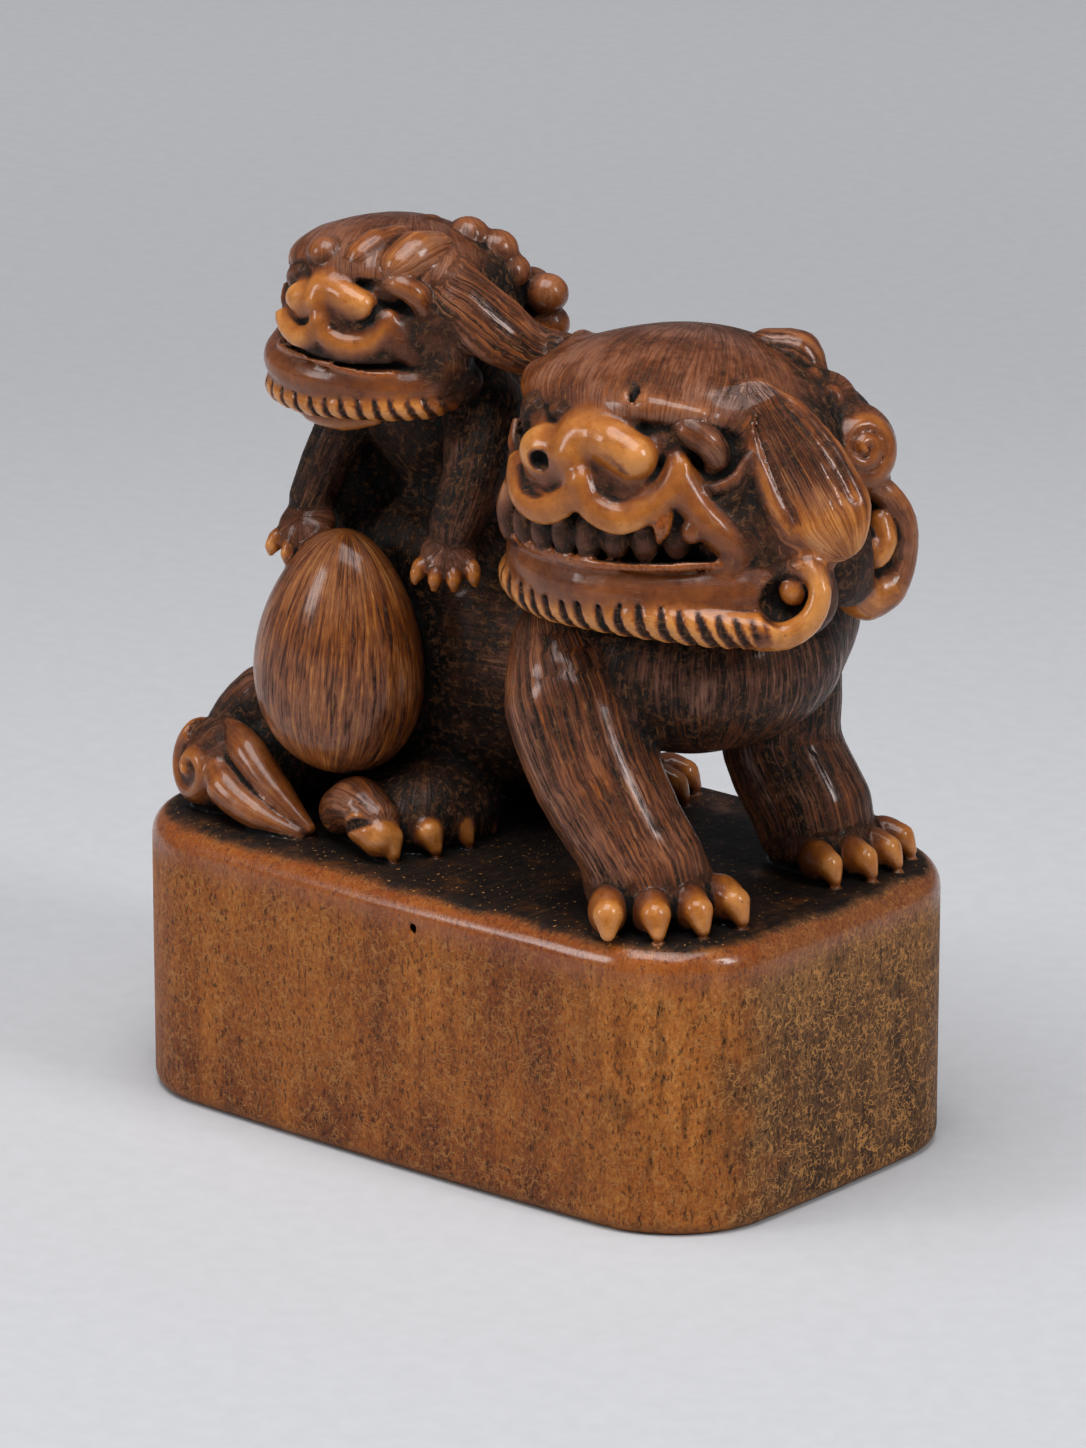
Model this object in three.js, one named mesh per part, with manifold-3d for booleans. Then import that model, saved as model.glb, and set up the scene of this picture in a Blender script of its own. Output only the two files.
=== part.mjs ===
// A netsuke: a lion-dog with her cub climbing on her back, carved in one piece with a seal-shaped base.
// Millimetres, +Z up. The origin is the middle of the underside, +X runs along the base to the forepaws,
// and both faces look towards -Y.

import * as THREE from 'three';
import Module from 'manifold-3d';
import { MarchingCubes } from 'three/addons/objects/MarchingCubes.js';
import { SimplifyModifier } from 'three/addons/modifiers/SimplifyModifier.js';
import { mergeVertices } from 'three/addons/utils/BufferGeometryUtils.js';

// The base block.
const LENGTH = 33;
const WIDTH = 20;
const HEIGHT = 12.7;
const CORNER = 4.7;
const BULGE = 0.4;
const EDGE = 0.9;

// The two heads share one carving, each with its own place and turn, front of the upper lip, height of the
// slit of the mouth as a share of its depth, and spread of the far side of the jaw.
const ADULT_HEAD = { at: [8.3, 0, 31], yaw: 7, lipFront: -7.0, slit: 0.3, farJaw: 1 };
const CUB_HEAD = { at: [-6.25, -1.9, 35.8], yaw: 10, size: 0.68, lipFront: -7.4, slit: 0.2, farJaw: 1.2 };
// The far cheek is carved narrower than the one that faces the corner.
const NEAR_CHEEK = 1;
const FAR_CHEEK = -0.8;

// How finely the figure is roughed out, how many facets are kept, and how deep its feet run into the base.
const CELL = 0.42;
const CLEAR = 0.06 * CELL;
const TOOL = 0.15;
const FACETS = 8400;
const ROOT = 1.2;
const BLOCK = { middle: [0.6, -0.4, 26], cells: 94 };

const STAINED_BOXWOOD = new THREE.MeshStandardMaterial({ color: 0x4a2412, roughness: 0.4, metalness: 0 });

// A place to carve at: where it is, how it is turned, and its size.
function place({ at = [0, 0, 0], yaw = 0, pitch = 0, roll = 0, size = 1, on = new THREE.Matrix4() } = {}) {
  const turn = new THREE.Matrix4().makeRotationZ(THREE.MathUtils.degToRad(yaw));
  turn.multiply(new THREE.Matrix4().makeRotationX(THREE.MathUtils.degToRad(pitch)));
  turn.multiply(new THREE.Matrix4().makeRotationY(THREE.MathUtils.degToRad(roll)));
  const move = new THREE.Matrix4().makeTranslation(...at);
  return on.clone().multiply(move).multiply(turn).scale(new THREE.Vector3(size, size, size));
}

// The roughed-out figure: a lattice of signed distances, in which every form is blended into the last.
const rough = new MarchingCubes(BLOCK.cells, STAINED_BOXWOOD, false, false, 120000);
rough.isolation = 0;
rough.field.fill(-3);

const latticeAt = (index, axis) => (index - rough.halfsize) * CELL + BLOCK.middle[axis];
const latticeIndex = (value, axis) => (value - BLOCK.middle[axis]) / CELL + rough.halfsize;

// Blends a form into the lattice, or cuts it away. Its box is in the local frame of its place.
function carve(distance, box, { on = new THREE.Matrix4(), blend = 0.6, cut = false }) {
  const size = new THREE.Vector3().setFromMatrixScale(on).x;
  const world = box.clone().applyMatrix4(on).expandByScalar(1.6);
  const inverse = on.clone().invert().elements;
  const soft = blend * size;
  const first = [0, 1, 2].map((k) => Math.max(0, Math.floor(latticeIndex(world.min.getComponent(k), k))));
  const last = [0, 1, 2].map((k) => {
    return Math.min(rough.size - 1, Math.ceil(latticeIndex(world.max.getComponent(k), k)));
  });
  for (let k = first[2]; k <= last[2]; k++) {
    for (let j = first[1]; j <= last[1]; j++) {
      for (let i = first[0]; i <= last[0]; i++) {
        const [x, y, z] = [latticeAt(i, 0), latticeAt(j, 1), latticeAt(k, 2)];
        const d = size * distance(
          inverse[0] * x + inverse[4] * y + inverse[8] * z + inverse[12],
          inverse[1] * x + inverse[5] * y + inverse[9] * z + inverse[13],
          inverse[2] * x + inverse[6] * y + inverse[10] * z + inverse[14],
        );
        const cell = i + rough.size * (j + rough.size * k);
        const body = -rough.field[cell];
        const form = cut ? -d : d;
        const gap = cut ? form - body : body - form;
        const share = THREE.MathUtils.clamp(0.5 + 0.5 * gap / soft, 0, 1);
        const rounding = soft * share * (1 - share);
        rough.field[cell] = -(body + (form - body) * share + (cut ? rounding : -rounding));
      }
    }
  }
}

// An egg shape. Taper narrows it towards its top.
function egg(at, [rx, ry, rz], { on, yaw, pitch, roll, taper = 0, ...finish } = {}) {
  const distance = (x, y, z) => {
    const narrow = 1 - taper * THREE.MathUtils.clamp(z / rz, -1, 1);
    const [u, v] = [x / narrow, y / narrow];
    const a = Math.hypot(u / rx, v / ry, z / rz);
    const b = Math.hypot(u / rx ** 2, v / ry ** 2, z / rz ** 2);
    return a * (a - 1) / (b + 1e-6);
  };
  const corner = new THREE.Vector3(rx * (1 + taper), ry * (1 + taper), rz);
  const box = new THREE.Box3(corner.clone().negate(), corner);
  carve(distance, box, { on: place({ at, yaw, pitch, roll, on }), ...finish });
}

// A tapered round bar along a smooth curve. Squeeze thins it along the direction flat.
function limb(points, radii, { on, flat = [0, 0, 1], squeeze = 1, ...finish } = {}) {
  const curve = new THREE.CatmullRomCurve3(points.map((p) => new THREE.Vector3(...p)), false, 'catmullrom');
  const steps = 3 * (points.length - 1);
  const path = curve.getPoints(steps);
  const radius = path.map((_, i) => {
    const t = i / steps * (radii.length - 1);
    const k = Math.min(Math.floor(t), radii.length - 2);
    return THREE.MathUtils.lerp(radii[k], radii[k + 1], t - k);
  });
  const thin = new THREE.Vector3(...flat).normalize();
  const stretch = 1 / squeeze - 1;
  const bars = path.slice(1).map((end, i) => {
    const along = end.clone().sub(path[i]);
    along.addScaledVector(thin, along.dot(thin) * stretch);
    return { start: path[i], along, reach: along.lengthSq() + 1e-9, from: radius[i], to: radius[i + 1] };
  });
  const distance = (x, y, z) => {
    let nearest = Infinity;
    for (const { start, along, reach, from, to } of bars) {
      let [u, v, w] = [x - start.x, y - start.y, z - start.z];
      const push = (u * thin.x + v * thin.y + w * thin.z) * stretch;
      u += push * thin.x;
      v += push * thin.y;
      w += push * thin.z;
      const t = THREE.MathUtils.clamp((u * along.x + v * along.y + w * along.z) / reach, 0, 1);
      const off = Math.hypot(u - t * along.x, v - t * along.y, w - t * along.z) - (from + t * (to - from));
      if (off < nearest) nearest = off;
    }
    return nearest * Math.min(squeeze, 1);
  };
  const box = new THREE.Box3().setFromPoints(path).expandByScalar(Math.max(...radii));
  carve(distance, box, { on, ...finish });
}

// A ball of rolled hair whose spiral ridge faces outward.
function curl(at, outward, radius, { on, start = 0, hand = 1 } = {}) {
  const face = new THREE.Vector3(...outward).normalize();
  const yaw = THREE.MathUtils.radToDeg(Math.atan2(face.x, -face.y));
  const pitch = THREE.MathUtils.radToDeg(Math.acos(face.z));
  egg(at, [radius, radius, 0.75 * radius], { on, yaw, pitch, blend: 0.3 });
  const turns = 1.35;
  const outer = 0.82 * radius;
  const thick = 0.3 * radius;
  const dome = 0.4 * radius;
  const step = outer / turns;
  const distance = (x, y, z) => {
    const rho = Math.hypot(x, y);
    const angle = hand * Math.atan2(y, x) - THREE.MathUtils.degToRad(start);
    const phase = THREE.MathUtils.euclideanModulo(angle / (2 * Math.PI), 1);
    const lap = THREE.MathUtils.clamp(Math.round(rho / step - phase), 0, Math.floor(turns - phase));
    const wound = phase + lap;
    const rise = z - dome * (1 - rho / outer);
    const ridge = Math.hypot(rho - step * wound, 0.8 * rise) - thick * (0.55 + 0.45 * wound / turns);
    const disc = Math.max(rho - outer, Math.abs(z + 0.6 * thick) - 0.6 * thick);
    return Math.min(ridge, disc);
  };
  const lifted = face.multiplyScalar(0.34 * radius).add(new THREE.Vector3(...at));
  const half = new THREE.Vector3(outer + thick, outer + thick, dome + 1.3 * thick);
  const box = new THREE.Box3(half.clone().negate(), half);
  carve(distance, box, { on: place({ at: lifted.toArray(), yaw, pitch, on }), blend: 0.12 });
}

// A paw in a local frame with +x to the claws and z up from its sole.
function paw(on) {
  const toes = 4;
  egg([0, 0, 1.1], [2.5, 2.5, 1.45], { on });
  for (let k = 0; k < toes; k++) {
    const side = k - (toes - 1) / 2;
    const toe = place({ at: [2.2 - 0.28 * side * side, 1.5 * side, 0], yaw: 12 * side, on });
    egg([0, 0, 0.95], [1.15, 0.76, 0.95], { on: toe, blend: 0.15 });
    limb([[0.5, 0, 1.1], [1.0, 0, 0.75], [1.45, 0, 0.15]], [0.55, 0.5, 0.1], { on: toe, blend: 0.15 });
  }
}

// A form's points stretched or mirrored sideways.
const sided = (side, points) => points.map(([x, y, z]) => [side * x, y, z]);

// The dome of the head, its hair cap, brow, cheeks and the hollows that the eyes lie in.
function skull(on) {
  egg([0, -0.2, 0.4], [6.9, 7.0, 4.9], { on, blend: 1.2 });
  egg([0.3, -1.6, 2.4], [6.4, 6.4, 3.5], { on, blend: 0.8 });
  egg([5.4, 0.6, -0.2], [2.6, 4.8, 4.2], { on, blend: 1.0 });
  egg([-4.3, -0.6, -0.4], [2.9, 4.8, 4.2], { on, blend: 1.0 });
  limb([[-5.2, -3.4, 3.0], [-3.8, -5.6, 3.7], [-2.0, -6.7, 4.15], [0.1, -6.7, 4.2], [2.4, -6.9, 4.5],
    [4.4, -6.4, 4.2], [6.2, -5.0, 3.4]], [0.6, 0.7, 0.75, 0.65, 0.75, 0.8, 0.6], { on });
  egg([0, -5.2, 0.8], [4.6, 3.5, 2.4], { on, blend: 0.8 });
  egg([4.9, -4.2, 0], [2.3, 2.6, 2.6], { on, blend: 0.8 });
  egg([-3.9, -3.6, 0], [2.1, 2.6, 2.6], { on, blend: 0.8 });
  for (const side of [NEAR_CHEEK, FAR_CHEEK]) {
    egg([4.4 * side, -8.0, 2.5], [2.3, 1.7, 1.35], { on, cut: true });
  }
}

// The open jaws: upper jaw, lower jaw, the cut of the mouth and the lower lip.
function jaws(on, { lipFront, slit, farJaw }) {
  const arch = jawArch(farJaw);
  limb([[-4.9, -3.8, -0.8], [-3.2, lipFront + 0.9, -0.7], [0, lipFront, -0.6], [3.8, lipFront + 0.7, -0.7],
    [5.9, -4.6, -0.8]], [1.2, 1.25, 1.3, 1.25, 1.2], { on, blend: 0.5 });
  limb(arch, [1.45, 1.5, 1.6, 1.65, 1.6, 1.6, 1.4], { on, blend: 0.5 });
  egg([0, -2.5, -3.0], [6.0, 5.0, 2.4], { on, blend: 0.8 });
  limb([[-6.2, -4.0, -2.3], [-4.9, -6.4, -2.1], [-3.0, -8.1, -1.95], [-0.2, -9.0, -1.85], [3.0, -8.7, -1.95],
    [5.0, -7.7, -2.05], [6.2, -6.5, -2.2]], [1.0, 1.1, 1.3, 1.4, 1.3, 1.2, 0.75],
  { on, cut: true, squeeze: slit, blend: 0.12 });
  limb([[-5.7, -4.2, -2.85], [-4.4, -6.6, -2.7], [-2.5, -8.15, -2.5], [0, -8.7, -2.45], [2.8, -8.4, -2.5],
    [4.9, -7.4, -2.6], [6.4, -6.1, -2.75]], [0.3, 0.34, 0.36, 0.36, 0.36, 0.36, 0.4], { on, blend: 0.3 });
}

// The line of the lower jaw, spread on its far side.
function jawArch(spread) {
  const far = [[-5.9, -2.0, -3.3], [-4.8, -4.4, -3.6], [-3.1, -6.3, -3.9]];
  const near = [[0, -7.35, -4.0], [3.8, -6.9, -4.0], [6.3, -5.6, -3.85], [7.8, -3.9, -3.6]];
  return [...sided(spread, far), ...near];
}

// Broad nose, scrolled upper lip, cheek bands round the corners of the mouth, and bulging eyes.
function features(on) {
  for (const side of [NEAR_CHEEK, FAR_CHEEK]) {
    limb(sided(side, [[4.2, -7.7, 1.4], [5.1, -7.3, 0.3], [5.9, -6.6, -0.7], [6.7, -5.7, -1.6],
      [7.0, -5.4, -2.5], [6.5, -5.9, -3.2]]), [0.4, 0.55, 0.65, 0.55, 0.45, 0.4], { on, blend: 0.3 });
    limb(sided(side, [[0.12, -9.0, 1.1], [0.3, -9.15, 0.2], [1.0, -9.1, -0.45], [2.0, -8.95, -0.55],
      [3.2, -8.4, -0.15], [4.1, -7.9, 0.8], [4.2, -7.6, 1.8]]), [0.4, 0.5, 0.58, 0.6, 0.58, 0.5, 0.35],
    { on, blend: 0.3 });
  }
  limb([[0, -8.2, 2.2], [0, -7.7, 3.0], [0, -6.8, 3.6]], [1.1, 0.95, 0.6], { on, blend: 0.5 });
  limb([[-2.3, -8.0, 1.6], [-1.4, -8.4, 2.2], [0, -8.5, 2.35], [1.4, -8.5, 2.3], [2.5, -8.1, 1.75]],
    [0.92, 0.98, 0.95, 0.98, 0.9], { on, blend: 0.35 });
  for (const side of [NEAR_CHEEK, FAR_CHEEK]) {
    limb(sided(side, [[0.5, -9.5, 1.3], [0.95, -9.45, 0.6], [1.8, -9.25, 0.3], [2.8, -8.7, 0.55],
      [3.5, -8.1, 1.4]]), [0.14, 0.22, 0.26, 0.25, 0.14], { on, cut: true, blend: 0.12 });
    limb(sided(side, [[3.5, -6.9, 3.1], [4.6, -6.9, 3.05], [5.5, -6.5, 2.2], [5.5, -6.3, 1.5]]),
      [0.55, 0.7, 0.72, 0.5], { on, blend: 0.15 });
  }
}

// The beard: a fringe of comma-shaped lobes that hang from the jaw and lean outward from its middle.
function beard(on, { farJaw }) {
  const lobes = 21;
  const points = jawArch(farJaw).map((p) => new THREE.Vector3(...p));
  const arch = new THREE.CatmullRomCurve3(points, false, 'catmullrom');
  for (let k = 0; k < lobes; k++) {
    const t = (k + 0.6) / lobes;
    const root = arch.getPoint(t);
    const [before, after] = [Math.max(t - 0.02, 0), Math.min(t + 0.02, 1)];
    const side = arch.getPoint(after).sub(arch.getPoint(before)).setZ(0).normalize();
    const out = new THREE.Vector3(side.y, -side.x, 0);
    const lean = 1.1 * (t - 0.4);
    const along = (outward, sideways, up) => root.clone().addScaledVector(out, outward)
      .addScaledVector(side, sideways * lean).add(new THREE.Vector3(0, 0, up)).toArray();
    limb([along(1.5, -0.5, 0.35), along(1.5, 0, -0.6), along(1.0, 1.1, -1.5)], [0.16, 0.4, 0.3],
      { on, blend: 0.08 });
  }
}

function teeth(on) {
  const count = 9;
  for (let k = 0; k < count; k++) {
    const x = THREE.MathUtils.lerp(-4.6, 4.6, k / (count - 1));
    egg([x, -8.2 + 0.08 * x * x, -1.2], [0.52, 0.55, 0.5], { on, blend: 0.1 });
  }
}

// The adult's mane: drooping ears, large curls at the jaw and neck, and rows of curls round the back.
function grownMane(on) {
  limb([[6.0, -3.2, 4.6], [7.8, -3.4, 3.2], [8.9, -3.3, 1.3], [9.5, -3.2, -0.1]], [1.0, 1.5, 1.85, 1.6],
    { on, flat: [0.72, -0.55, 0.42], squeeze: 0.38, blend: 0.5 });
  limb([[-5.0, -1.4, 4.2], [-6.2, 0, 2.6], [-6.8, 1.2, 0.6], [-6.8, 2.0, -1.0]], [1.0, 1.5, 1.6, 1.2],
    { on, flat: [-0.9, -0.1, 0.3], squeeze: 0.42, blend: 0.3 });
  curl([8.5, -4.7, -3.4], [0.5, -0.85, 0.1], 1.6, { on, start: -90, hand: -1 });
  curl([8.8, 2.2, -3.4], [0.66, -0.74, 0.1], 1.6, { on, start: 110, hand: -1 });
  limb([[8.1, 1.5, 0.0], [9.05, 2.4, -1.2], [9.1, 3.0, -3.1], [8.5, 3.2, -5.0]], [0.7, 0.75, 0.7, 0.6],
    { on, blend: 0.3 });
  curl([5.7, 1.4, 2.5], [0.72, -0.4, 0.55], 1.5, { on, start: 40 });
  curl([6.5, 2.1, 0.5], [0.85, -0.4, 0.3], 1.5, { on, start: 60 });
  egg([5.8, 3.7, 1.2], [0.95, 0.95, 0.95], { on, blend: 0.2 });
  egg([6.4, 3.8, -0.9], [1.0, 1.0, 1.0], { on, blend: 0.2 });
  egg([2.9, 2.4, 4.1], [1.2, 1.2, 1.0], { on, blend: 0.2 });
  egg([4.4, 1.4, 3.8], [1.1, 1.1, 1.0], { on, blend: 0.2 });
  const rows = [
    { height: 2.1, out: 4.6, count: 5, first: 55 },
    { height: 0.2, out: 5.6, count: 6, first: 42 },
    { height: -2.4, out: 5.7, count: 6, first: 50 },
  ];
  for (const { height, out, count, first } of rows) {
    for (let k = 0; k < count; k++) {
      const angle = THREE.MathUtils.degToRad(THREE.MathUtils.lerp(first, 180, k / (count - 1)));
      const outward = [Math.cos(angle), Math.sin(angle), 0.18 * height];
      curl([out * Math.cos(angle), 0.3 + out * Math.sin(angle), height], outward, 1.65,
        { on, start: 50 * k, hand: k % 2 ? 1 : -1 });
    }
  }
}

// The cub's mane: ears swept back and ball curls behind them.
function cubMane(on) {
  limb([[5.0, -4.6, 3.6], [6.8, -4.4, 2.2], [8.6, -3.4, 0.3], [10.2, -2.0, -1.2], [12.0, -0.6, -1.2]],
    [1.2, 1.8, 1.9, 1.5, 0.8], { on, flat: [0.55, -0.6, 0.55], squeeze: 0.5, blend: 0.3 });
  limb([[-4.6, -2.6, 3.4], [-5.6, -1.0, 2.2], [-6.0, 0.8, 0.4], [-5.4, 2.6, -1.0]], [1.0, 1.4, 1.4, 0.8],
    { on, flat: [-0.9, -0.3, 0.3], squeeze: 0.5, blend: 0.3 });
  const sideBalls = [[4.3, 0.9, 4.6], [5.9, 1.7, 3.8], [6.7, 1.9, 2.4], [8.9, 2.8, 1.1], [7.4, 3.4, 1.2],
    [8.7, 3.3, -1.0]];
  for (const at of sideBalls) egg(at, [1.3, 1.3, 1.3], { on, blend: 0.3 });
  const rows = [
    { height: 2.6, out: 4.6, count: 4, first: 50 },
    { height: 0.6, out: 5.8, count: 4, first: 55 },
    { height: -1.4, out: 5.6, count: 3, first: 70 },
  ];
  for (const { height, out, count, first } of rows) {
    for (let k = 0; k < count; k++) {
      const angle = THREE.MathUtils.degToRad(THREE.MathUtils.lerp(first, 150, k / (count - 1)));
      egg([out * Math.cos(angle), 0.6 + out * Math.sin(angle), height], [1.4, 1.4, 1.4], { on, blend: 0.3 });
    }
  }
}

function adultHead() {
  const on = place(ADULT_HEAD);
  skull(on);
  jaws(on, ADULT_HEAD);
  teeth(on);
  features(on);
  beard(on, ADULT_HEAD);
  grownMane(on);
}

function cubHead() {
  const on = place(CUB_HEAD);
  skull(on);
  jaws(on, CUB_HEAD);
  features(on);
  beard(on, CUB_HEAD);
  cubMane(on);
}

// The adult crouches along the base, forelegs apart under the chest, haunches drawn up beside the body.
function adultBody() {
  limb([[-8.5, 0.9, 20.2], [-3, 0.9, 21.0], [3, 0.6, 21.6], [8, 0, 22.6]], [5.0, 4.7, 4.5, 4.3],
    { blend: 1 });
  egg([-5.5, 0.4, 24.6], [4.8, 4.2, 3.3], { blend: 0.8 });
  limb([[-7, 0.6, 17.0], [-3, 0.4, 17.6], [0, 0.4, 18.6]], [3.6, 3.5, 3.0], { blend: 1.2 });
  egg([9.2, -0.2, 22.9], [6.0, 6.4, 4.2], { yaw: 12, blend: 1 });
  egg([10.8, 3.6, 24.0], [3.0, 3.2, 3.2], { blend: 0.8 });
  limb([[7.8, 0.4, 24], [8.0, 0.4, 27], [8.2, 0.4, 30]], [5.5, 5.5, 5.5], { blend: 1 });
}

function forelegs() {
  limb([[6.0, -5.2, 23.2], [6.9, -6.1, 21.3], [8.3, -6.3, 18.6], [10.0, -6.2, 16.2], [10.8, -5.9, 14.8]],
    [2.6, 2.9, 2.75, 2.5, 2.5], { blend: 0.8 });
  paw(place({ at: [10.9, -5.7, 12.6], yaw: -32, size: 1.12 }));
  limb([[8.6, 4.6, 23.0], [9.4, 4.8, 20.5], [9.6, 4.7, 17.5], [11.3, 4.7, 14.9]], [2.6, 2.65, 2.6, 2.6],
    { blend: 0.8 });
  paw(place({ at: [11.95, 4.6, 12.6] }));
}

function hindlegs() {
  egg([-6.55, -5.8, 21.0], [4.1, 3.0, 5.5], { roll: 5, taper: 0.2, blend: 0.25 });
  egg([-5.2, 5.6, 20.6], [4.6, 3.0, 5.2], { roll: 4, taper: 0.16, blend: 0.4 });
  egg([-3.7, -3.4, 13.7], [3.0, 3.6, 2.5], { blend: 0.5 });
  paw(place({ at: [-4.4, -4.5, 12.6], yaw: -8, size: 1.05 }));
  egg([-3.0, 5.0, 13.7], [3.4, 3.0, 2.0], { blend: 0.5 });
  paw(place({ at: [-0.8, 5.6, 12.6], yaw: 4 }));
}

// The tail: a rolled curl at the corner, two long locks that sweep forward, and a plume up the rump.
function tail() {
  egg([-11.6, -3.6, 15.2], [2.6, 2.6, 3.0], { blend: 0.5 });
  limb([[-10.6, -3.6, 18.4], [-12.2, -4.5, 17.4], [-13.6, -4.8, 15.8], [-14.0, -5.0, 14.0]],
    [1.2, 1.5, 1.4, 1.2], { blend: 0.3 });
  limb([[-12.0, 0.5, 15], [-13.2, 1.0, 18], [-12.2, 1.2, 21.5]], [2.4, 2.6, 1.0]);
  curl([-13.2, -6.4, 14.5], [-0.2, -0.97, 0.1], 2.15, { start: 60, hand: -1 });
  limb([[-12.8, -6.0, 16.0], [-11.1, -6.8, 15.4], [-9.0, -7.2, 14.0], [-7.1, -7.3, 13.0]],
    [0.6, 0.85, 0.75, 0.3], { blend: 0.12 });
  limb([[-13.0, -6.9, 15.4], [-11.5, -7.8, 14.2], [-9.4, -8.0, 13.4], [-7.4, -7.7, 12.9]],
    [0.6, 0.9, 0.7, 0.3], { blend: 0.12 });
}

// The cub stands across the adult's back, forepaws on the near haunch and shoulder.
function cubBody() {
  egg([-8.6, 0.9, 26.4], [3.3, 2.6, 3.8]);
  limb([[-6.2, -1.4, 33.6], [-5.6, -0.4, 31.0], [-5.0, 3.6, 29.2], [-4.8, 6.0, 25.5]], [3.0, 3.2, 3.3, 3.2]);
  egg([-5.0, 0.8, 28.4], [4.8, 3.0, 3.6]);
  limb([[-7.9, -2.4, 31.8], [-8.6, -3.9, 29.4], [-9.1, -4.7, 27.2]], [1.5, 1.1, 1.0], { blend: 0.4 });
  paw(place({ at: [-8.9, -5.0, 25.7], yaw: -75, roll: 45, size: 0.52 }));
  limb([[-1.9, -1.6, 31.8], [-1.0, -3.3, 29.4], [-1.3, -4.1, 27.2]], [1.8, 1.35, 1.2], { blend: 0.4 });
  paw(place({ at: [-1.5, -4.3, 25.6], yaw: -60, roll: 38, size: 0.5 }));
  limb([[-7.6, 4.6, 28.0], [-8.6, 6.2, 25.4], [-8.2, 6.6, 23.2]], [2.0, 1.9, 1.2], { blend: 0.5 });
  limb([[-2.2, 4.6, 28.0], [-1.0, 6.2, 25.4], [-1.4, 6.6, 23.2]], [2.0, 1.9, 1.2], { blend: 0.5 });
}

// Makes solid the cracks and pockets that the carver's smallest tool couldn't reach from outside.
function closeCracks() {
  const steps = [1, -1, rough.size, -rough.size, rough.size2, -rough.size2];
  const open = new Uint8Array(rough.size3);
  const reached = [0];
  open[0] = 1;
  while (reached.length) {
    const cell = reached.pop();
    for (const next of steps.map((step) => cell + step)) {
      if (next < 0 || next >= rough.size3 || open[next] || rough.field[next] > 0) continue;
      open[next] = 1;
      if (rough.field[next] < -TOOL) reached.push(next);
    }
  }
  for (let cell = 0; cell < rough.size3; cell++) {
    if (!open[cell] && rough.field[cell] < 0) rough.field[cell] = CLEAR;
  }
}

// The carved figure as a closed faceted mesh, cut off flat inside the base.
async function figure() {
  adultBody();
  forelegs();
  hindlegs();
  tail();
  cubBody();
  adultHead();
  cubHead();
  const floor = HEIGHT - ROOT;
  for (let k = 0; k < rough.size; k++) {
    for (let cell = k * rough.size2; cell < (k + 1) * rough.size2; cell++) {
      const value = Math.min(rough.field[cell], latticeAt(k, 2) - floor);
      rough.field[cell] = Math.abs(value) < CLEAR ? Math.sign(value || 1) * CLEAR : value;
    }
  }
  closeCracks();
  rough.update();
  const positions = rough.positionArray.slice(0, 3 * rough.count);
  const shell = new THREE.BufferGeometry();
  shell.setAttribute('position', new THREE.BufferAttribute(positions, 3));
  const welded = mergeVertices(shell, 1e-5);
  const extra = welded.index.count / 3 - FACETS;
  const faceted = await new SimplifyModifier().modify(welded, Math.round(extra / 2));
  const half = rough.halfsize * CELL;
  return faceted.scale(half, half, half).translate(...BLOCK.middle);
}

// The base: a rounded oblong with slightly swollen sides and softened edges.
function block() {
  const [x, y] = [LENGTH / 2 - EDGE, WIDTH / 2 - EDGE];
  const r = CORNER - EDGE;
  const outline = new THREE.Shape();
  outline.moveTo(-x + r, -y);
  outline.quadraticCurveTo(0, -y - 2 * BULGE, x - r, -y);
  outline.absarc(x - r, -y + r, r, -Math.PI / 2, 0);
  outline.quadraticCurveTo(x + 2 * BULGE, 0, x, y - r);
  outline.absarc(x - r, y - r, r, 0, Math.PI / 2);
  outline.quadraticCurveTo(0, y + 2 * BULGE, -x + r, y);
  outline.absarc(-x + r, y - r, r, Math.PI / 2, Math.PI);
  outline.quadraticCurveTo(-x - 2 * BULGE, 0, -x, -y + r);
  outline.absarc(-x + r, -y + r, r, Math.PI, 1.5 * Math.PI);
  const solid = new THREE.ExtrudeGeometry(outline, {
    depth: HEIGHT - 2 * EDGE, bevelThickness: EDGE, bevelSize: EDGE, bevelSegments: 2, curveSegments: 5,
  });
  return solid.translate(0, 0, EDGE);
}

const wasm = await Module();
wasm.setup();

function toSolid(geometry) {
  geometry.deleteAttribute('normal');
  geometry.deleteAttribute('uv');
  const merged = mergeVertices(geometry, 1e-4);
  return new wasm.Manifold(new wasm.Mesh({
    numProp: 3,
    vertProperties: new Float32Array(merged.attributes.position.array),
    triVerts: new Uint32Array(merged.index.array),
  }));
}

function toGeometry(solid) {
  const { vertProperties, triVerts } = solid.getMesh();
  const geometry = new THREE.BufferGeometry();
  geometry.setAttribute('position', new THREE.BufferAttribute(new Float32Array(vertProperties), 3));
  geometry.setIndex(new THREE.BufferAttribute(new Uint32Array(triVerts), 1));
  geometry.computeVertexNormals();
  return geometry;
}

const carved = toSolid(block()).add(toSolid(await figure()));
const netsuke = new THREE.Mesh(toGeometry(carved), STAINED_BOXWOOD);
netsuke.name = 'netsuke';

const group = new THREE.Group();
group.add(netsuke);

export default group;
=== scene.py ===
import bpy
import numpy as np
from mathutils import Matrix, Vector


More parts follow.
